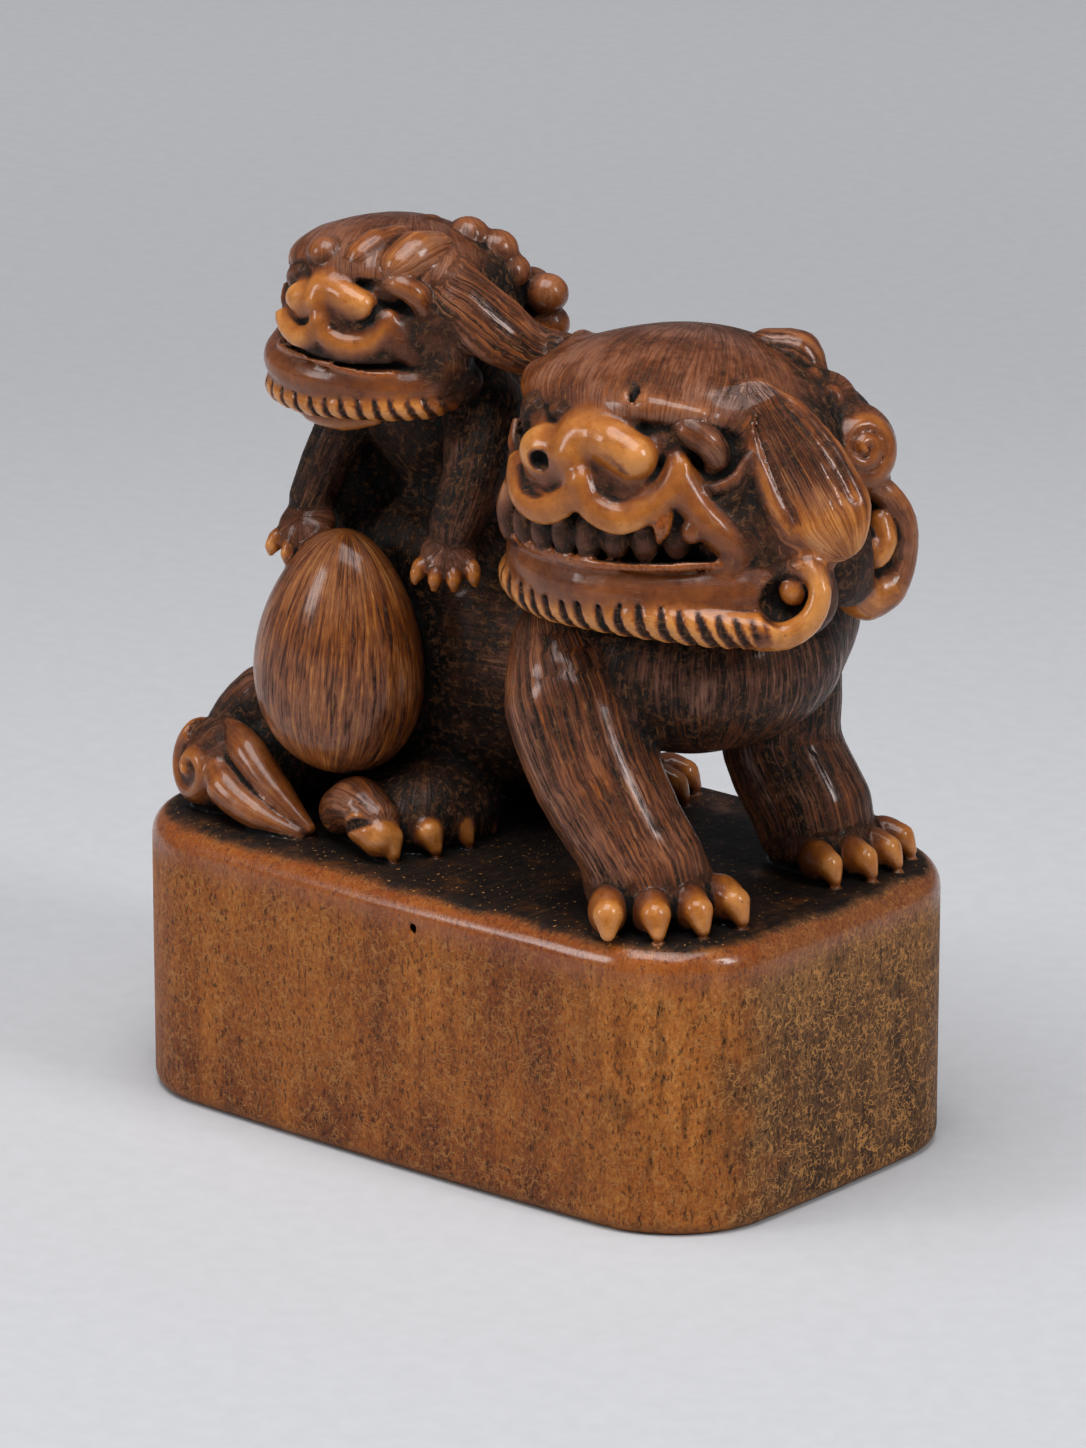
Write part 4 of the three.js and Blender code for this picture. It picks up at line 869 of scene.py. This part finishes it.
class Wire:
    """A value, colour or vector of a material, to be worked with like a number."""

    def __init__(self, tree, socket):
        self.tree = tree
        self.socket = socket

    def node(self, kind, settings, inputs, output=0):
        """Any node: its settings are set first, then its sockets take values or wires."""
        new = self.tree.nodes.new(kind)
        for name, value in settings.items():
            if name == "stops":
                ramp = new.color_ramp
                while len(ramp.elements) < len(value):
                    ramp.elements.new(1)
                for element, (place, colour) in zip(ramp.elements, value):
                    element.position = place
                    element.color = (*colour, 1)
            else:
                setattr(new, name, value)
        for name, value in inputs.items():
            if isinstance(value, Wire):
                self.tree.links.new(value.socket, new.inputs[name])
            else:
                new.inputs[name].default_value = value
        return Wire(self.tree, new.outputs[output])

    def maths(self, operation, *values):
        wide = any(isinstance(v, tuple) or isinstance(v, Wire) and v.socket.type != "VALUE" for v in values)
        if wide:
            values = [v if isinstance(v, (Wire, tuple)) else (v, v, v) for v in values]
        kind = "ShaderNodeVectorMath" if wide else "ShaderNodeMath"
        return self.node(kind, {"operation": operation}, dict(enumerate(values)))

    def __add__(self, other):
        return self.maths("ADD", self, other)

    def __radd__(self, other):
        return self.maths("ADD", other, self)

    def __sub__(self, other):
        return self.maths("SUBTRACT", self, other)

    def __rsub__(self, other):
        return self.maths("SUBTRACT", other, self)

    def __mul__(self, other):
        return self.maths("MULTIPLY", self, other)

    def __rmul__(self, other):
        return self.maths("MULTIPLY", other, self)

    def between(self, low, high):
        """0 below low, 1 above high, and a soft step between them (or the other way round)."""
        return self.node("ShaderNodeMapRange", {"interpolation_type": "SMOOTHSTEP"},
                         {"Value": self, "From Min": low, "From Max": high})

    def noise(self, scale, detail=3.0, rough=0.55, bend=0.0):
        """Cloudy noise about 0.5; scale is a number or one for each axis."""
        where = self * scale if isinstance(scale, tuple) else self
        size = 1.0 if isinstance(scale, tuple) else scale
        sockets = {"Vector": where, "Scale": size, "Detail": detail, "Roughness": rough, "Distortion": bend}
        return self.node("ShaderNodeTexNoise", {}, sockets)

    def turned(self, axis, degrees):
        return self.node("ShaderNodeVectorRotate", {"rotation_type": "AXIS_ANGLE"},
                         {"Vector": self, "Axis": axis, "Angle": np.radians(degrees)})

    def mixed(self, other, share):
        """This colour, giving way by the share to the other, a wire or plain red, green and blue."""
        second = other if isinstance(other, Wire) else (*other, 1)
        return self.node("ShaderNodeMix", {"data_type": "RGBA"}, {"Factor": share, 6: self, 7: second}, 2)

    def ramp(self, *stops):
        return self.node("ShaderNodeValToRGB", {"stops": stops}, {"Fac": self})


# The stain, the polish and painted shade: near black in the cuts (stain and painted shade), red-brown on the
# slopes, amber where hands have rubbed it.
# The first six colours run from dirt and painted shade to bare, worn wood; the rest lie over them or belong
# to the stand.
DIRT_AND_SHADE = (0.0055, 0.004, 0.0032)
DARK_STAIN = (0.024, 0.0105, 0.0055)
RED_STAIN = (0.11, 0.028, 0.008)
RUST = (0.235, 0.063, 0.011)
AMBER = (0.41, 0.13, 0.02)
BARE = (0.61, 0.245, 0.06)
OLIVE = (0.075, 0.04, 0.016)
TAN = (0.26, 0.12, 0.042)
FIBRE = (0.46, 0.21, 0.06)
DUST = (0.3, 0.13, 0.045)
SCRAPED = (0.17, 0.07, 0.028)
BLOOM_AND_SHEEN = (0.26, 0.14, 0.1)
RUBBED_RED = (0.19, 0.036, 0.002)
WORN_FOOT = (0.12, 0.045, 0.012)
BUMP_DEPTH = 0.00012

wood = bpy.data.materials.new("stained_boxwood")
wood.use_nodes = True
shader = wood.node_tree.nodes["Principled BSDF"]
start = Wire(wood.node_tree, None)


def kept(name, output="Fac"):
    """What the surface remembers under this name."""
    return start.node("ShaderNodeAttribute", {"attribute_name": name}, {}, output)


def parts_of(vector):
    """A vector's x, y and z, each a wire of its own."""
    return [vector.node("ShaderNodeSeparateXYZ", {}, {"Vector": vector}, k) for k in range(3)]


millimetre = start.node("ShaderNodeNewGeometry", {}, {}, "Position") * 1000.0
x, y, z = parts_of(millimetre)
upward = parts_of(start.node("ShaderNodeNewGeometry", {}, {}, "Normal"))[2]
along = kept("grain", "Vector")
stroke_share = kept("streak")
# Masks of fine hollows and broad recesses: both darken the colour below as painted shade, the fine cuts
# together with the dark stain that stays in them; ridges and open places show wear.
groove_share = kept("hollow").between(0.06, 0.24)
ridge_share = kept("hollow").between(-0.03, -0.2)
recess_painted_shade = kept("recess").between(0.05, 0.3)
open_share = kept("recess").between(0.02, -0.18)

# Hair strokes, cut side by side along each form and broken here and there.
strokes = along.noise((6.8, 6.8, 0.6), 3.0, 0.6, 0.6)
broad_strokes = along.noise((2.6, 2.6, 0.2), 2.0, 0.5, 0.4)
flecks = along.noise((5.5, 5.5, 1.1), 2.0, 0.6, 0.6).between(0.62, 0.7)
cloud = millimetre.noise(0.45, 4.0, 0.6)
mottle = millimetre.noise(2.2, 3.0, 0.6)
specks = millimetre.noise(6.5, 2.0, 0.7).between(0.66, 0.72)

# How far each spot has gone from dark (0) to bare wood (1): ridges and open places are rubbed, cuts are not;
# cuts and deep recesses are darkened further as painted shade.
shade = kept("tone") * 0.88 - 0.05 + (cloud - 0.5) * 0.6 + (mottle - 0.5) * 0.3
shade = shade + ridge_share * 0.22 + open_share * 0.12 - groove_share * 0.75 - recess_painted_shade * 0.45
shade = shade + (strokes - 0.5) * stroke_share * 1.6 + (broad_strokes - 0.5) * stroke_share * 0.7
worn = shade.between(0.12, 0.6)
hair = shade.ramp((0.0, DIRT_AND_SHADE), (0.16, DARK_STAIN), (0.38, RED_STAIN), (0.6, RUST), (0.82, AMBER), (1.0, BARE))
# Dust in the strokes, scraped patches on the dark wood, a pale bloom with painted sheen on open hair, and
# dark specks.
hair = hair.mixed(DUST, flecks * (0.3 + stroke_share * 0.3) * (1 - groove_share))
scrapes = millimetre.noise(3.0, 4.0, 0.72).between(0.51, 0.62) * (1 - worn) * (1 - groove_share)
hair = hair.mixed(SCRAPED, scrapes * 0.6)
# Painted sheen with a dusty bloom: a pale pinkish grey on open, worn hair.
bloom_and_sheen = stroke_share.between(0.2, 0.4) * kept("recess").between(0.06, -0.12) * cloud.between(0.42, 0.62)
bloom_and_sheen = bloom_and_sheen * strokes.between(0.35, 0.6) * worn * (1.15 - stroke_share * 0.75)
hair = hair.mixed(BLOOM_AND_SHEEN, bloom_and_sheen * 0.6)
hair = hair.mixed(hair * 0.25, specks * 0.7)

# The stand: rubbed amber with painted light at the near corner, orange to the left, olive with dirt and
# painted shade to the right, black on top.
wander = (cloud - 0.5) * 5.0
right_end = (x + y * 0.35 + wander).between(13.2, 15.6)
# The near corner is painted lighter: rubbed wood, and a painted highlight where the light falls.
near_corner = (x - y * 0.3 + wander).between(12.0, 16.5) * (1 - right_end)
speckle = (millimetre * (1.0, 1.0, 0.6)).noise(6.5, 3.0, 0.75)
bands = (millimetre * (1.0, 1.0, 0.13)).noise(0.55, 3.0, 0.6)
low_down = z.between(4.5, 0.5) * (1 - near_corner)
side = 0.56 + x.between(4.0, -12.0) * 0.08 + (bands - 0.5) * 0.8 + speckle - 0.5
side = side + (cloud - 0.5) * 0.25 + near_corner * 0.15 - low_down * 0.12
side = side.ramp((0.1, DARK_STAIN), (0.32, RED_STAIN), (0.54, RUST), (0.8, AMBER), (1.0, BARE))
# The right end: olive dirt, darkened further as painted shade, and lighter towards its top as painted light.
shaded_dirty_end = 0.5 + (speckle - 0.5) * 1.5 + (bands - 0.5) * 0.8 + z.between(7.0, 12.0) * 0.2
shaded_dirty_end = shaded_dirty_end.ramp((0.2, DARK_STAIN), (0.5, OLIVE), (0.85, TAN))
side = side.mixed(shaded_dirty_end, right_end * 0.85)

# Threads of paler grain, curling like felt: where a noise crosses its middle, and only here and there.
# Each layer has its own turn, in degrees about an axis, and its own fineness.
THREAD_LAYERS = (
    ((1.0, 0.0, 0.0), 25, 1.7),
    ((0.3, 1.0, 0.0), -35, 2.3),
    ((0.0, 1.0, 0.2), 65, 2.0),
    ((1.0, 0.3, 0.3), 80, 2.7),
)
fibres = None
for axis, angle, fineness in THREAD_LAYERS:
    turned_place = millimetre.turned(axis, angle)
    middle_gap = turned_place.noise(fineness, 1.0, 0.4, 0.5) - 0.5
    threads = middle_gap.maths("ABSOLUTE", middle_gap).between(0.026, 0.01)
    threads = threads * turned_place.noise(1.2, 1.0, 0.5).between(0.47, 0.54)
    fibres = threads if fibres is None else fibres.maths("MAXIMUM", fibres, threads)
side = side.mixed(FIBRE, fibres * (0.5 + right_end * 0.45))

# Dark pits, long dark smears down the near corner, a red rubbed upper edge and a paler foot.
pits = (millimetre * (1.0, 1.0, 0.42)).noise(5.5, 2.0, 0.65).between(0.58, 0.68)
smears = (millimetre * (1.0, 1.0, 0.3)).noise(0.9, 4.0, 0.7).between(0.5, 0.6) * near_corner
side = side.mixed(side * 0.12, pits.maths("MAXIMUM", pits * 0.7, smears * (pits + 0.6) * 0.8))
ragged = upward + (cloud - 0.5) * 0.5 + (mottle - 0.5) * 0.12
top = ragged.between(0.7, 1.0) * z.between(10.0, 11.5)
rim = (z + (cloud - 0.5) * 1.5).between(10.4, 12.0) * (1 - top)
side = side.mixed(side * 0.3 + RUBBED_RED, rim * 0.75)
foot = z.between(0.75, 0.25) * (1 - top)
side = side.mixed(side * 0.5 + WORN_FOOT, foot * 0.6)

# The black ground round the paws, with crumbs of pale dust.
grime = millimetre.noise((4.5, 0.55, 1.0), 3.0, 0.6, 0.6)
black = (grime - 0.5) * 1.1 + (mottle - 0.5) * 0.4 + 0.12
black = black.ramp((0.0, DIRT_AND_SHADE), (0.3, DARK_STAIN), (0.5, OLIVE), (0.75, TAN))
crumbs = millimetre.noise(4.5, 1.0, 0.5).between(0.7, 0.74)
black = black.mixed(FIBRE, crumbs * 0.8)
side = side.mixed(black, top)
# Cuts in the stand turn near black: the stain in them, and painted shade.
side = side.mixed(DIRT_AND_SHADE, groove_share)

# The two finishes are joined; the polish lies on what is worn, and on the stand's upper edge.
stand_share = kept("stand").between(0.45, 0.75)
colour = hair.mixed(side, stand_share)
rough_hair = 0.5 - worn * 0.17 + groove_share * 0.25 + (mottle - 0.5) * 0.35
rough_side = 0.5 + top * 0.1 + right_end * 0.1 + (mottle - 0.5) * 0.25 - rim * 0.24
roughness = rough_hair + (rough_side - rough_hair) * stand_share
height = (strokes - 0.5) * stroke_share * 1.3 + (flecks + specks) * 0.1 + mottle * 0.45
height = height + (millimetre.noise(1.6, 4.0, 0.7) * 1.6 + scrapes * 0.4) * (1 - worn)
height = height * (1 - stand_share) + (mottle * 0.4 - pits * 0.5 + fibres * 0.12) * stand_share
bump = start.node("ShaderNodeBump", {}, {"Height": height, "Strength": 0.7, "Distance": BUMP_DEPTH})
polish = worn * (0.6 - groove_share * 0.5) * (1 - stand_share) + (rim * 0.7 + 0.02) * stand_share
shader.inputs["IOR"].default_value = 1.45
shader.inputs["Specular IOR Level"].default_value = 0.22
shader.inputs["Coat Roughness"].default_value = 0.16
finish = {"Base Color": colour, "Roughness": roughness, "Coat Weight": polish, "Normal": bump}
for name, wire in finish.items():
    wood.node_tree.links.new(wire.socket, shader.inputs[name])

skin_mesh.materials.clear()
skin_mesh.materials.append(wood)
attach(carving, "root")
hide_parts("netsuke")

# The studio
# A sheet of pale, faintly cool paper, laid flat and run up in a curve into a soft grey wall.
# Three diffused lamps stand round it, in a dim and slightly blue air.

FLOOR_NEAR = -0.9
WALL_AT = 1.6
CURVE = 0.6
WALL_TOP = 1.5
HALF_WIDTH = 3
TURN = np.radians(40.32)
PAPER_DARK = (0.55, 0.555, 0.575)
PAPER_PALE = (0.58, 0.585, 0.61)
LAMP_SHARE = 0.48
LAMP_AIM = Vector((0, 0, 0.02))

away = Vector((-np.sin(TURN), np.cos(TURN), 0))
across = Vector((np.cos(TURN), np.sin(TURN), 0))
profile = [(FLOOR_NEAR, 0.0), (WALL_AT - CURVE, 0.0)]
for angle in np.radians(np.arange(10, 91, 10)):
    profile.append((WALL_AT - CURVE + CURVE * np.sin(angle), CURVE - CURVE * np.cos(angle)))
profile.append((WALL_AT, WALL_TOP))
corners = [away * d + across * s + Vector((0, 0, h)) for d, h in profile for s in (-HALF_WIDTH, HALF_WIDTH)]
strips = [(2 * k, 2 * k + 1, 2 * k + 3, 2 * k + 2) for k in range(len(profile) - 1)]
paper_mesh = bpy.data.meshes.new("paper_floor")
paper_mesh.from_pydata(corners, [], strips)
paper_mesh.shade_smooth()
paper = bpy.data.objects.new("paper_floor", paper_mesh)
bpy.context.collection.objects.link(paper)
pale = bpy.data.materials.new("pale_paper")
pale.use_nodes = True
sheet = pale.node_tree.nodes["Principled BSDF"]
sheet.inputs["Roughness"].default_value = 0.85
paper_at = Wire(pale.node_tree, None).node("ShaderNodeNewGeometry", {}, {}, "Position")
tint = paper_at.noise(900.0, 3.0, 0.6).ramp((0.3, PAPER_DARK), (0.7, PAPER_PALE))
# The light falls off a little behind the piece, and comes back further up the paper.
reach = paper_at.node("ShaderNodeVectorMath", {"operation": "LENGTH"}, {0: paper_at}, "Value")
tint = tint.mixed(tint * 0.895, reach.between(0.02, 0.14))
tint = tint.mixed(tint * 1.37, reach.between(0.12, 0.27))
pale.node_tree.links.new(tint.socket, sheet.inputs["Base Color"])
paper_mesh.materials.append(pale)

world = bpy.data.worlds.new("studio_air")
bpy.context.scene.world = world
world.use_nodes = True
air = world.node_tree.nodes["Background"]
air.inputs["Color"].default_value = (0.93, 0.95, 1.0, 1)
air.inputs["Strength"].default_value = 0.18


def softbox(name, place, size, power):
    """A diffused lamp of that width and height in metres, dimmed from its watts, turned to the piece."""
    lamp = bpy.data.lights.new(name, "AREA")
    lamp.energy = power * LAMP_SHARE
    lamp.shape = "RECTANGLE"
    lamp.size, lamp.size_y = size
    holder = bpy.data.objects.new(name, lamp)
    bpy.context.collection.objects.link(holder)
    holder.location = place
    holder.rotation_euler = (LAMP_AIM - holder.location).to_track_quat("-Z", "Y").to_euler()


softbox("overhead_softbox", Vector((0.03, -0.1, 0.4)), (0.3, 0.3), 3.1)
softbox("right_softbox", across * 0.32 - away * 0.25 + Vector((0, 0, 0.3)), (0.1, 0.17), 1.6)
softbox("left_softbox", -across * 0.4 - away * 0.12 + Vector((0, 0, 0.2)), (0.1, 0.17), 0.9)

# The camera
# It stands where the photograph was taken from, a little above the piece, and looks at its middle.
# The focus and the centre are in the photograph's pixels, and the rest in metres.

LIFT = np.radians(17.09)
DISTANCE = 0.3262
LOOK_AT = Vector((0, 0, 0.01778))
PHOTO_WIDTH = 1086
PHOTO_HEIGHT = 1448
PHOTO_FOCUS = 7500
PHOTO_CENTRE = (542.03, 719.34)
back = Vector((np.sin(TURN) * np.cos(LIFT), -np.cos(TURN) * np.cos(LIFT), np.sin(LIFT)))
up = back.cross(across)
stand_at = LOOK_AT + back * DISTANCE
lens = bpy.data.cameras.new("camera")
lens.sensor_width = 36
lens.lens = PHOTO_FOCUS * lens.sensor_width / PHOTO_HEIGHT
lens.shift_x = (PHOTO_WIDTH / 2 - PHOTO_CENTRE[0]) / PHOTO_HEIGHT
lens.shift_y = (PHOTO_CENTRE[1] - PHOTO_HEIGHT / 2) / PHOTO_HEIGHT
camera = bpy.data.objects.new("camera", lens)
bpy.context.collection.objects.link(camera)
camera.matrix_world = Matrix((
    (across.x, up.x, back.x, stand_at.x),
    (across.y, up.y, back.y, stand_at.y),
    (across.z, up.z, back.z, stand_at.z),
    (0, 0, 0, 1)))
bpy.context.scene.camera = camera
bpy.context.scene.view_settings.view_transform = "Standard"
